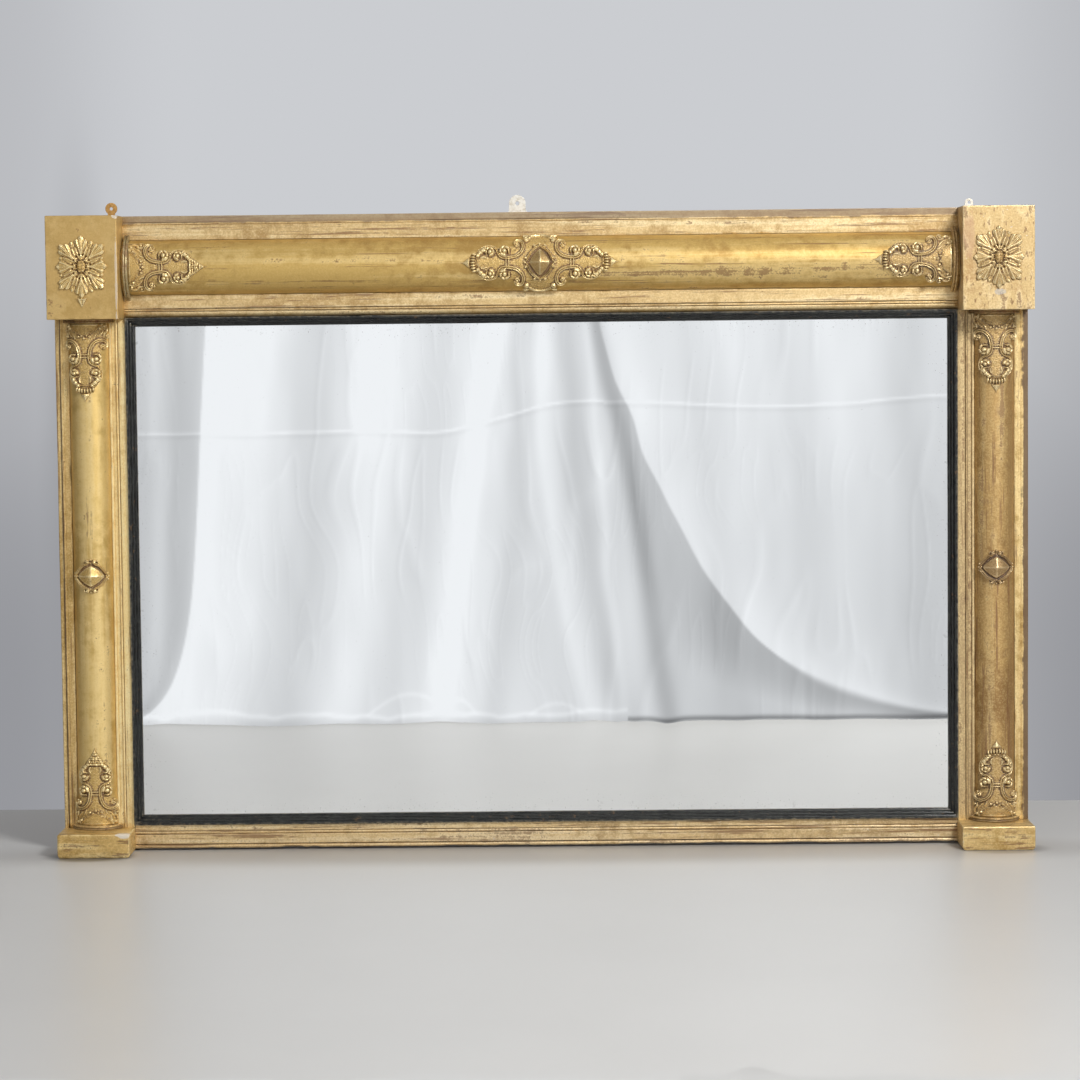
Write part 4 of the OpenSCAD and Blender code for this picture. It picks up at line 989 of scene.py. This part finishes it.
for node in ("top_rail", "bottom_rail"):
    plain(node, frame_pine[X])
for node in ("left_stile", "right_stile"):
    plain(node, frame_pine[Z])
for i in range(6):
    plain("backboard_%d" % (i + 1), board_pine[(0, 2, 1, 0, 1, 2)[i]])
plain("glue_blocks", block_pine)
plain("mirror_plate", mirror_silver)
for node, finish, slot in (("hanging_plate_centre", white_plate, "white_painted_steel"),
                           ("hanging_plate_left", gold_plate, "gilded_steel"),
                           ("hanging_plate_right", white_plate, "white_painted_steel")):
    dress(node, finish, slot, pitch=1.2, soft=0.35, sway=0.12)


# ---------- Ornaments ----------

pitch = 0.45
gadroon_end = end_mould(False, pitch)
rough_end = end_mould(True, pitch)
left_heel, right_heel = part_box("left_frieze_ornament")[0].x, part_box("right_frieze_ornament")[1].x
cast("left_frieze_spray", rough_end, on_frieze(left_heel, 1), bright_cast, "gilded_composition",
     "left_frieze_ornament", 1)
cast("right_frieze_spray", gadroon_end, on_frieze(right_heel, -1), dull_cast, "gilded_composition",
     "right_frieze_ornament", 2)
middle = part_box("frieze_centre_ornament")
CENTRE_TURNED, LEFT_TOP_TURNED = 1.2 * MM, -2.9 * MM    # ornaments that sit askew
on_middle = on_frieze((middle[0].x + middle[1].x) / 2, 1, CENTRE_TURNED)
cast("frieze_centre_spray", centre_mould(pitch), on_middle, bright_cast, "gilded_composition",
     "frieze_centre_ornament", 3)
for node, mould, x, way, finish, seed in (
        ("left_column_top_ornament", gadroon_end, -column_x, -1, bright_cast, 4),
        ("right_column_top_ornament", gadroon_end, column_x, -1, dull_cast, 5),
        ("left_column_foot_ornament", rough_end, -column_x, 1, bright_cast, 6),
        ("right_column_foot_ornament", gadroon_end, column_x, 1, dull_cast, 7)):
    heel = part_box(node)[1 if way < 0 else 0].z
    slot = "dull_gilded_composition" if node.startswith("right") else "gilded_composition"
    turned = LEFT_TOP_TURNED if node == "left_column_top_ornament" else 0
    cast(node.replace("ornament", "spray"), mould, on_column(x, heel, way, turned), finish, slot, node, seed)
boss = boss_mould(pitch)
for node, x, finish in (("left_side_boss", -column_x, bright_cast), ("right_side_boss", column_x, grey_cast)):
    lo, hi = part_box(node)
    cast(node + "_cast", boss, on_column(x, (lo.z + hi.z) / 2, 1), finish, "dull_gilded_composition", node, x)
for node, has_tip, finish, slot in (("left", True, bright_cast, "gilded_composition"),
                                    ("right", False, dull_cast, "dull_gilded_composition")):
    lo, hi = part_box(node + "_corner_block")
    place = on_block((lo.x + hi.x) / 2, (lo.z + hi.z) / 2 + 0.001, lo.y)
    cast(node + "_rosette_cast", rosette_mould(has_tip, pitch), place, finish, slot, node + "_rosette", 9)


# ---------- Screws and nails ----------

HEAD_R, HEAD_DEEP, HEAD_TAPER = 0.0038, 0.0018, 0.55
SLOT_HALF, SLOT_DEEP = 0.0005, 0.0009


def slotted_head():
    """A countersunk screw head at the origin, with its slot, facing up."""
    bm = bmesh.new()
    made = bmesh.ops.create_circle(bm, cap_ends=True, segments=24, radius=HEAD_R)["verts"]
    cone = bmesh.ops.extrude_face_region(bm, geom=[made[0].link_faces[0]])["geom"]
    below = [v for v in cone if isinstance(v, bmesh.types.BMVert)]
    bmesh.ops.translate(bm, verts=below, vec=(0, 0, -HEAD_DEEP))
    bmesh.ops.scale(bm, verts=below, vec=(HEAD_TAPER, HEAD_TAPER, 1))
    for side in (-1, 1):
        bmesh.ops.bisect_plane(bm, geom=bm.verts[:] + bm.edges[:] + bm.faces[:], dist=1e-7,
                               plane_co=(0, side * SLOT_HALF, 0), plane_no=(0, 1, 0))
    slot = [f for f in bm.faces if f.normal.z > 0.9 and abs(f.calc_center_median().y) < SLOT_HALF
            and f.calc_center_median().length < HEAD_R / 2]
    cut = bmesh.ops.extrude_face_region(bm, geom=slot)["geom"]
    bmesh.ops.translate(bm, verts=[v for v in cut if isinstance(v, bmesh.types.BMVert)],
                        vec=(0, 0, -SLOT_DEEP))
    bmesh.ops.delete(bm, geom=[f for f in slot if f.is_valid], context="FACES_ONLY")
    return bm


def screws(name, nodes, places, proud):
    """Screw heads, each turned its own way, at places given as (x, z)."""
    bm = bmesh.new()
    for k, (x, z) in enumerate(places):
        one = slotted_head()
        turn = Matrix.Translation((x, proud, z)) @ Matrix.Rotation(-math.pi / 2, 4, "X") \
            @ Matrix.Rotation(k * 1.7 + 0.4, 4, "Z")
        bmesh.ops.transform(one, matrix=turn, verts=one.verts[:])
        bmesh.ops.recalc_face_normals(one, faces=one.faces[:])
        mesh = bpy.data.meshes.new("screw")
        one.to_mesh(mesh)
        one.free()
        bm.from_mesh(mesh)
        bpy.data.meshes.remove(mesh)
    thing = piece(name, bm, old_iron, "steel", *nodes)
    mark_relief(thing.data, relief_of(thing.data)[2])
    return thing


back_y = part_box("left_stile")[1].y
sunk_y = back_y - 0.0003
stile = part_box("right_stile")
top_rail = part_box("top_rail")
lap_x = [stile[1].x - 0.022, stile[1].x - 0.076]
lap_z = [top_rail[0].z + 0.022, top_rail[0].z + 0.072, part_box("lap_screws")[0].z + 0.004]
screws("lap_screw_heads", ["lap_screws"], [(side * x, z) for side in (-1, 1) for x in lap_x for z in lap_z],
       sunk_y)
plates = [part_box("hanging_plate_" + name) for name in ("left", "centre", "right")]
plate_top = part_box("top_rail")[1].z
screws("plate_screw_heads", ["plate_screws"],
       [((lo.x + hi.x) / 2, plate_top - down) for lo, hi in plates for down in (0.012, 0.036)], sunk_y)

NAIL_HEAD, NAIL_INSET = (0.0046, 0.0012, 0.0026), 0.0045
nails = bmesh.new()
for i in range(6):
    lo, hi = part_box("backboard_%d" % (i + 1))
    for share in (0.18, 0.82):
        for z in (lo.z + NAIL_INSET, hi.z - NAIL_INSET):
            head = bmesh.ops.create_cube(nails, size=1.0)["verts"]
            bmesh.ops.scale(nails, verts=head, vec=NAIL_HEAD)
            bmesh.ops.rotate(nails, verts=head, cent=(0, 0, 0),
                             matrix=Matrix.Rotation(0.5 * math.sin(i * 3.1 + share * 9 + z * 40), 3, "Y"))
            bmesh.ops.translate(nails, verts=head, vec=(lo.x + (hi.x - lo.x) * share, hi.y, z))
bmesh.ops.bevel(nails, geom=nails.edges[:], offset=0.0004, offset_type="OFFSET", segments=2, profile=0.5,
                affect="EDGES", clamp_overlap=True, material=-1)
nailed = piece("backboard_nails", nails, old_iron, "steel")
mark_relief(nailed.data, relief_of(nailed.data)[2])


# ---------- Floor, cloth and light ----------

def stage_finish(name, colour, glow=None, fade=None):
    """A backdrop's finish: plain, or glowing with its own painted light and shade, and clear outside a soft
    mask.
    """
    f = Finish(name)
    mask = fade(f) if fade else None
    if glow is None:
        f.surface(colour(f), 0.36, 0.0)
    else:
        f.surface((0, 0, 0, 1), 1.0, 0.0, specular_ior_level=0.0)
        f.feed(f.shader.inputs["Emission Color"], colour(f))
        f.feed(f.shader.inputs["Emission Strength"], glow)
    if mask is not None:
        clear = f.add("BsdfTransparent")
        mixed = f.add("MixShader", sockets={0: mask, 1: clear, 2: Wire(f, f.shader.outputs[0])})
        f.tree.links.new(mixed.socket, f.tree.nodes["Material Output"].inputs["Surface"])
    return f.material


def floor_fade(f):
    centre = f.add("VectorMath", {"operation": "DISTANCE"}, {0: f.place(), 1: (0, -1.0, 0)}, out=1)
    return f.between(centre, 3.1, 1.5)


def floor_tone(f):
    """Pale floor, with a painted shadow along the mirror's foot and darker painted shadows under the plinths.
    """
    tone = f.blend(rgb(208, 207, 204), rgb(201, 200, 197), f.noise(3, 3))
    # Painted shadow along the mirror's foot.
    tone = f.blend(tone, rgb(128, 122, 116), f.region((0, -0.03, 0), (0.75, 0.085, 1), 0, 0.55) * 0.5)
    for side, amount in ((-1, 0.75), (1, 0.45)):
        # Painted shadows under the plinths.
        plinth_shadow = f.region((side * 0.632, -0.03, 0), (0.058, 0.042, 1), 0, 0.28)
        tone = f.blend(tone, rgb(58, 50, 42), plinth_shadow * amount)
    return tone


WALL_Y = 0.41


def wall_fade(f):
    """Seen from the front only, and clear toward the wall's ends."""
    ends = f.between(f.size_of(f.axis(X)), 1.7, 1.0) * f.between(f.axis(Z), 1.9, 1.3)
    return ends * (1 - f.add("NewGeometry", out=6))


def wall_tone(f):
    """Grey paper glowing with painted light: brighter above, with painted shade toward its foot and its
    sides, and a painted shadow of the mirror on the left.
    """
    low = f.between(f.axis(Z), 0.95, 0.2)
    side = f.between(f.size_of(f.axis(X) - 0.02), 0.55, 0.85)
    tone = f.blend(rgb(203, 205, 209), rgb(172, 173, 177), f.either(low, side * 0.55))
    tone = f.blend(tone, rgb(146, 147, 152), low * side * 0.85)
    shade = f.region((-0.70, WALL_Y, 0.42), (0.05, 1.0, 0.46), 0, 0.5)
    return f.blend(tone, rgb(148, 149, 153), shade * 0.5)


def backdrop(name, finish, bm):
    mesh = bpy.data.meshes.new(name)
    bm.to_mesh(mesh)
    bm.free()
    mesh.shade_smooth()
    mesh.materials.append(finish)
    thing = bpy.data.objects.new(name, mesh)
    scene.collection.objects.link(thing)
    return thing


bm = bmesh.new()
bmesh.ops.create_grid(bm, x_segments=4, y_segments=4, size=5.0)
backdrop("floor", stage_finish("Pale floor", floor_tone, fade=floor_fade), bm)
bm = bmesh.new()
bmesh.ops.create_grid(bm, x_segments=2, y_segments=2, size=2.0,
                      matrix=Matrix.Translation((0, WALL_Y, 2.0)) @ Matrix.Rotation(math.pi / 2, 4, "X"))
# The wall glows with its painted light and shade, and only the camera sees it.
wall = backdrop("paper_wall", stage_finish("Grey paper", wall_tone, 1.0, wall_fade), bm)
wall.visible_diffuse = wall.visible_glossy = wall.visible_shadow = wall.visible_transmission = False

CLOTH_Y = -1.35
# Folds of the cloth: (x at 74 cm, 40 cm and the foot), widths to the left and right, and painted tone (light
# where plus, shade where minus), in cm
FOLDS = (
    ((-61.9, -64.7, -69.2), 4, 5, 13), ((-52.4, -53.7, -58), 3, 3, 6), ((-41.9, -42.8, -49.2), 6, 5, -19),
    ((-31, -32.8, -38), 4.5, 5, 12), ((-18.3, -22.8, -31), 5, 4, -14), ((-9.1, -14.6, -20), 3, 1.6, 17),
    ((-5.5, -6.8, -10.9), 1.5, 3, -15), ((-1.4, 0, 7.3), 1.2, 3, 17), ((3.6, 5.6, 12.8), 2.4, 2, -18),
    ((7.3, 9.4, 13.4), 0.8, 0.8, 12), ((8.7, 15, 21), 1.5, 1.6, -34), ((24.6, 29, 34), 2, 3, -7),
    ((33, 36, 38), 2, 2, 5), ((44, 46, 48), 1.5, 4, -6), ((52, 54, 56), 2, 2, 4), ((66, 66, 68), 4, 6, -16),
    ((-72.5, -72, -73), 1.2, 1.6, 12), ((-67.6, -68.4, -73), 1.4, 1.4, -12), ((-90, -92, -96), 8, 8, -16),
    ((84, 88, 92), 7, 7, -16))
FOLD_Z = (2, 40, 74)


def smooth(at, knots, values, degree):
    """A smooth curve fitted through a few points."""
    return np.polyval(np.polyfit(knots, values, degree), at)


def cloth_sheet():
    """A hung white cloth before the glass; the light and shade of its folds, with painted shadows and
    highlights, are painted into its tone and kept as its relief.
    """
    bm = bmesh.new()
    bmesh.ops.create_grid(bm, x_segments=900, y_segments=260, size=1.0)
    grid = np.array([v.co[:2] for v in bm.verts])
    x, z = 160 * (0.55 * grid[:, 0] + 0.45 * grid[:, 0] ** 3), (grid[:, 1] + 1) * 50
    spread = 1 + 0.5 * np.clip(1 - z / 74, 0, 1)
    # Broad painted light: brighter to the left, higher up, and on the upper right.
    tone = 226 + 14 * ramp(-x, -2, 8) + 8 * ramp(z, 30, 74) + 8 * ramp(x, 5, 30) * ramp(z, 20, 66)
    deep = np.zeros(x.shape)
    for path, left, right, amount in FOLDS:
        off = x - smooth(z, FOLD_Z, path[::-1], 2)
        off = off + swell((z, x * 0.2), 9, amount) * 0.5
        part = np.exp(-(off / (np.where(off < 0, left, right) * spread)) ** 2)
        tone, deep = tone + amount * part, deep + amount * part
    lap = smooth(np.sqrt(z), (0.6, 1.3, 3.2, 5.5, 7.1, 8.6), (82, 68, 44, 26, 17, 9), 4)
    lap = lap + swell((z,), 7, 3) * 0.5
    under = np.interp(z, FOLD_Z, (21, 15, 8.7))
    low = 3.5 * ramp(z, 13, 1)
    # Painted shadow under the overlapping cloth.
    shadow_wedge = ramp(x, under - 2, under + 2) * ramp(x, lap + 0.5 + low, lap - 0.2 - low)
    tone = tone - shadow_wedge * (14 + 30 * ramp(x, lap - 22, lap)) * (0.55 + 0.45 * ramp(z, 40, 6))
    # Painted highlight along the overlapping cloth's edge.
    tone = tone + 15 * ramp(x, lap - low, lap + 0.3 + low) * np.exp(-(np.maximum(x - lap, 0) / 8) ** 2)
    edge = smooth(np.sqrt(z), (1.4, 2.7, 5.3, 8.6), (-74.4, -70, -65.6, -62.6), 3)
    # Painted shade on the strip left of the edge, and a painted shadow line beside it.
    tone = tone - 34 * ramp(x, edge + 0.3, edge - 0.3)
    tone = tone - 12 * np.exp(-((x - edge + 1.6) / 1.6) ** 2) * (x < edge)
    bend = x + 3 * swell((x, z), 14, 20)
    # Painted light and shade on small creases.
    for size, amount, seed in ((3.0, 8, 8), (1.4, 7, 9), (6.5, 8, 15)):
        crease = (1 - np.abs(swell((bend, z * 0.1), size, seed))) ** 12
        shade = (1 - np.abs(swell((bend + 0.22 * size, z * 0.1), size, seed))) ** 9
        tone = tone + (crease - 0.8 * shade) * amount * ramp(swell((x, z), 15, seed + 1), -0.2, 0.6)
    tone = tone + swell((x, z * 0.25), 2.4, 11) * 3 + swell((x, z * 0.4), 8, 12) * 4
    # The seam: a painted highlight with a painted shadow under it.
    seam = np.where(x < 10, 53.6 + 5.4 * ramp(x, -24, 9) + 0.25 * swell((x,), 9, 16),
                    58.6 - 1.1 * ramp(x, 11, 40) + 1.5 * ramp(x, 42, 72) + 0.2 * swell((x,), 7, 17))
    tone = tone + 19 * np.exp(-((z - seam) / 0.24) ** 2) - 7 * np.exp(-((z - seam + 0.7) / 0.4) ** 2)
    # The hem: a painted highlight on the left hem with painted shade below it, and a painted shadow under the
    # right cloth's hem.
    hem = 1.6 + 0.7 * swell((x,), 9, 13) + 0.3 * swell((x,), 2.3, 14)
    tone = tone + np.where(x < 14, 12, -70) * np.exp(-((z - np.where(x < 14, hem, 0.4)) / 0.45) ** 2)
    tone = tone - 16 * ramp(z, hem, 0) * (x < 14)
    # Painted highlights on the puddled folds at the foot.
    for x0, wide, rise in ((-26, 9, 4.4), (-17, 4, 3.2), (1, 6, 2.4)):
        ridge = 1 + rise * np.clip(1 - (x - x0) ** 2 / wide ** 2, 0, 1) ** 1.5
        tone = tone + 9 * np.exp(-((z - ridge) / 0.45) ** 2) * ramp(wide - np.abs(x - x0), 0, 2)
    mark = (np.clip(tone, 60, 252) / 255) ** 2.2
    y = 100 * CLOTH_Y - 10 * (x / 160) ** 2 - deep * 0.12
    layer = bm.verts.layers.float.new("relief")
    for v, p, light in zip(bm.verts, np.stack([x, y, z + 0.2], 1) / 100, mark):
        v.co = p
        v[layer] = light
    return bm


# The cloth glows with the painted light and shade kept in its relief, and is seen only in glossy reflections.
cloth = backdrop("white_cloth", stage_finish(
    "White cloth", lambda f: f.blend((0, 0, 0, 1), (0.925, 0.945, 0.98, 1), f.relief()), 1.0), cloth_sheet())
cloth.visible_camera = cloth.visible_diffuse = cloth.visible_shadow = cloth.visible_transmission = False


def lamp(name, place, aim, wide, tall, watts):
    light = bpy.data.lights.new(name, "AREA")
    light.shape, light.size, light.size_y = "RECTANGLE", wide, tall
    light.energy = watts
    thing = bpy.data.objects.new(name, light)
    way = Vector(aim) - Vector(place)
    thing.matrix_world = Matrix.Translation(place) @ way.to_track_quat("-Z", "Y").to_matrix().to_4x4()
    scene.collection.objects.link(thing)


lamp("key_softbox", (1.6, -2.6, 2.3), (0.05, 0, 0.45), 0.9, 0.7, 100)
lamp("fill_softbox", (-2.2, -2.6, 1.9), (-0.2, 0, 0.45), 1.4, 1.1, 7)
lamp("top_softbox", (0, -0.3, 3.0), (0, 0, 0.4), 2.0, 1.0, 6)

world = bpy.data.worlds.new("studio")
scene.world = world
world.use_nodes = True
sky = Finish("studio", world.node_tree)
rays = sky.add("LightPath").socket.node.outputs
way = sky.add("SeparateXYZ", sockets={0: sky.add("TexCoord")}).socket.node.outputs
upward = sky.between(Wire(sky, way[Z]), 0.12, 0.6)
aside = sky.between(sky.size_of(Wire(sky, way[X])), 0.35, 0.95)
glow = [sky.add("Background", sockets={"Color": tone, "Strength": 1.0}) for tone in (
    (0.36, 0.36, 0.37, 1), (0.24, 0.24, 0.25, 1), rgb(186, 187, 189), rgb(104, 100, 96), rgb(203, 205, 208))]
lit = sky.add("MixShader", sockets={0: upward, 1: glow[0], 2: glow[1]})
mirrored = sky.add("MixShader", sockets={0: sky.either(upward, aside), 1: glow[2], 2: glow[3]})
bent = sky.either(Wire(sky, rays["Is Glossy Ray"]), Wire(sky, rays["Is Transmission Ray"]))
lit = sky.add("MixShader", sockets={0: bent, 1: lit, 2: mirrored})
joined = sky.add("MixShader", sockets={0: Wire(sky, rays["Is Camera Ray"]), 1: lit, 2: glow[4]})
world.node_tree.links.new(joined.socket, world.node_tree.nodes["World Output"].inputs["Surface"])

view = bpy.data.cameras.new("view")
view.lens, view.sensor_width, view.sensor_fit = 106.667, 36.0, "HORIZONTAL"
view.clip_start, view.clip_end = 0.1, 60
camera = bpy.data.objects.new("view", view)
camera.matrix_world = (Matrix.Translation((0.03935, -4.42334, 0.7293))
                       @ Matrix.Rotation(math.radians(0.560), 4, "Z")
                       @ Matrix.Rotation(math.radians(90 - 3.846), 4, "X")
                       @ Matrix.Rotation(math.radians(-0.614), 4, "Z"))
scene.collection.objects.link(camera)
scene.camera = camera
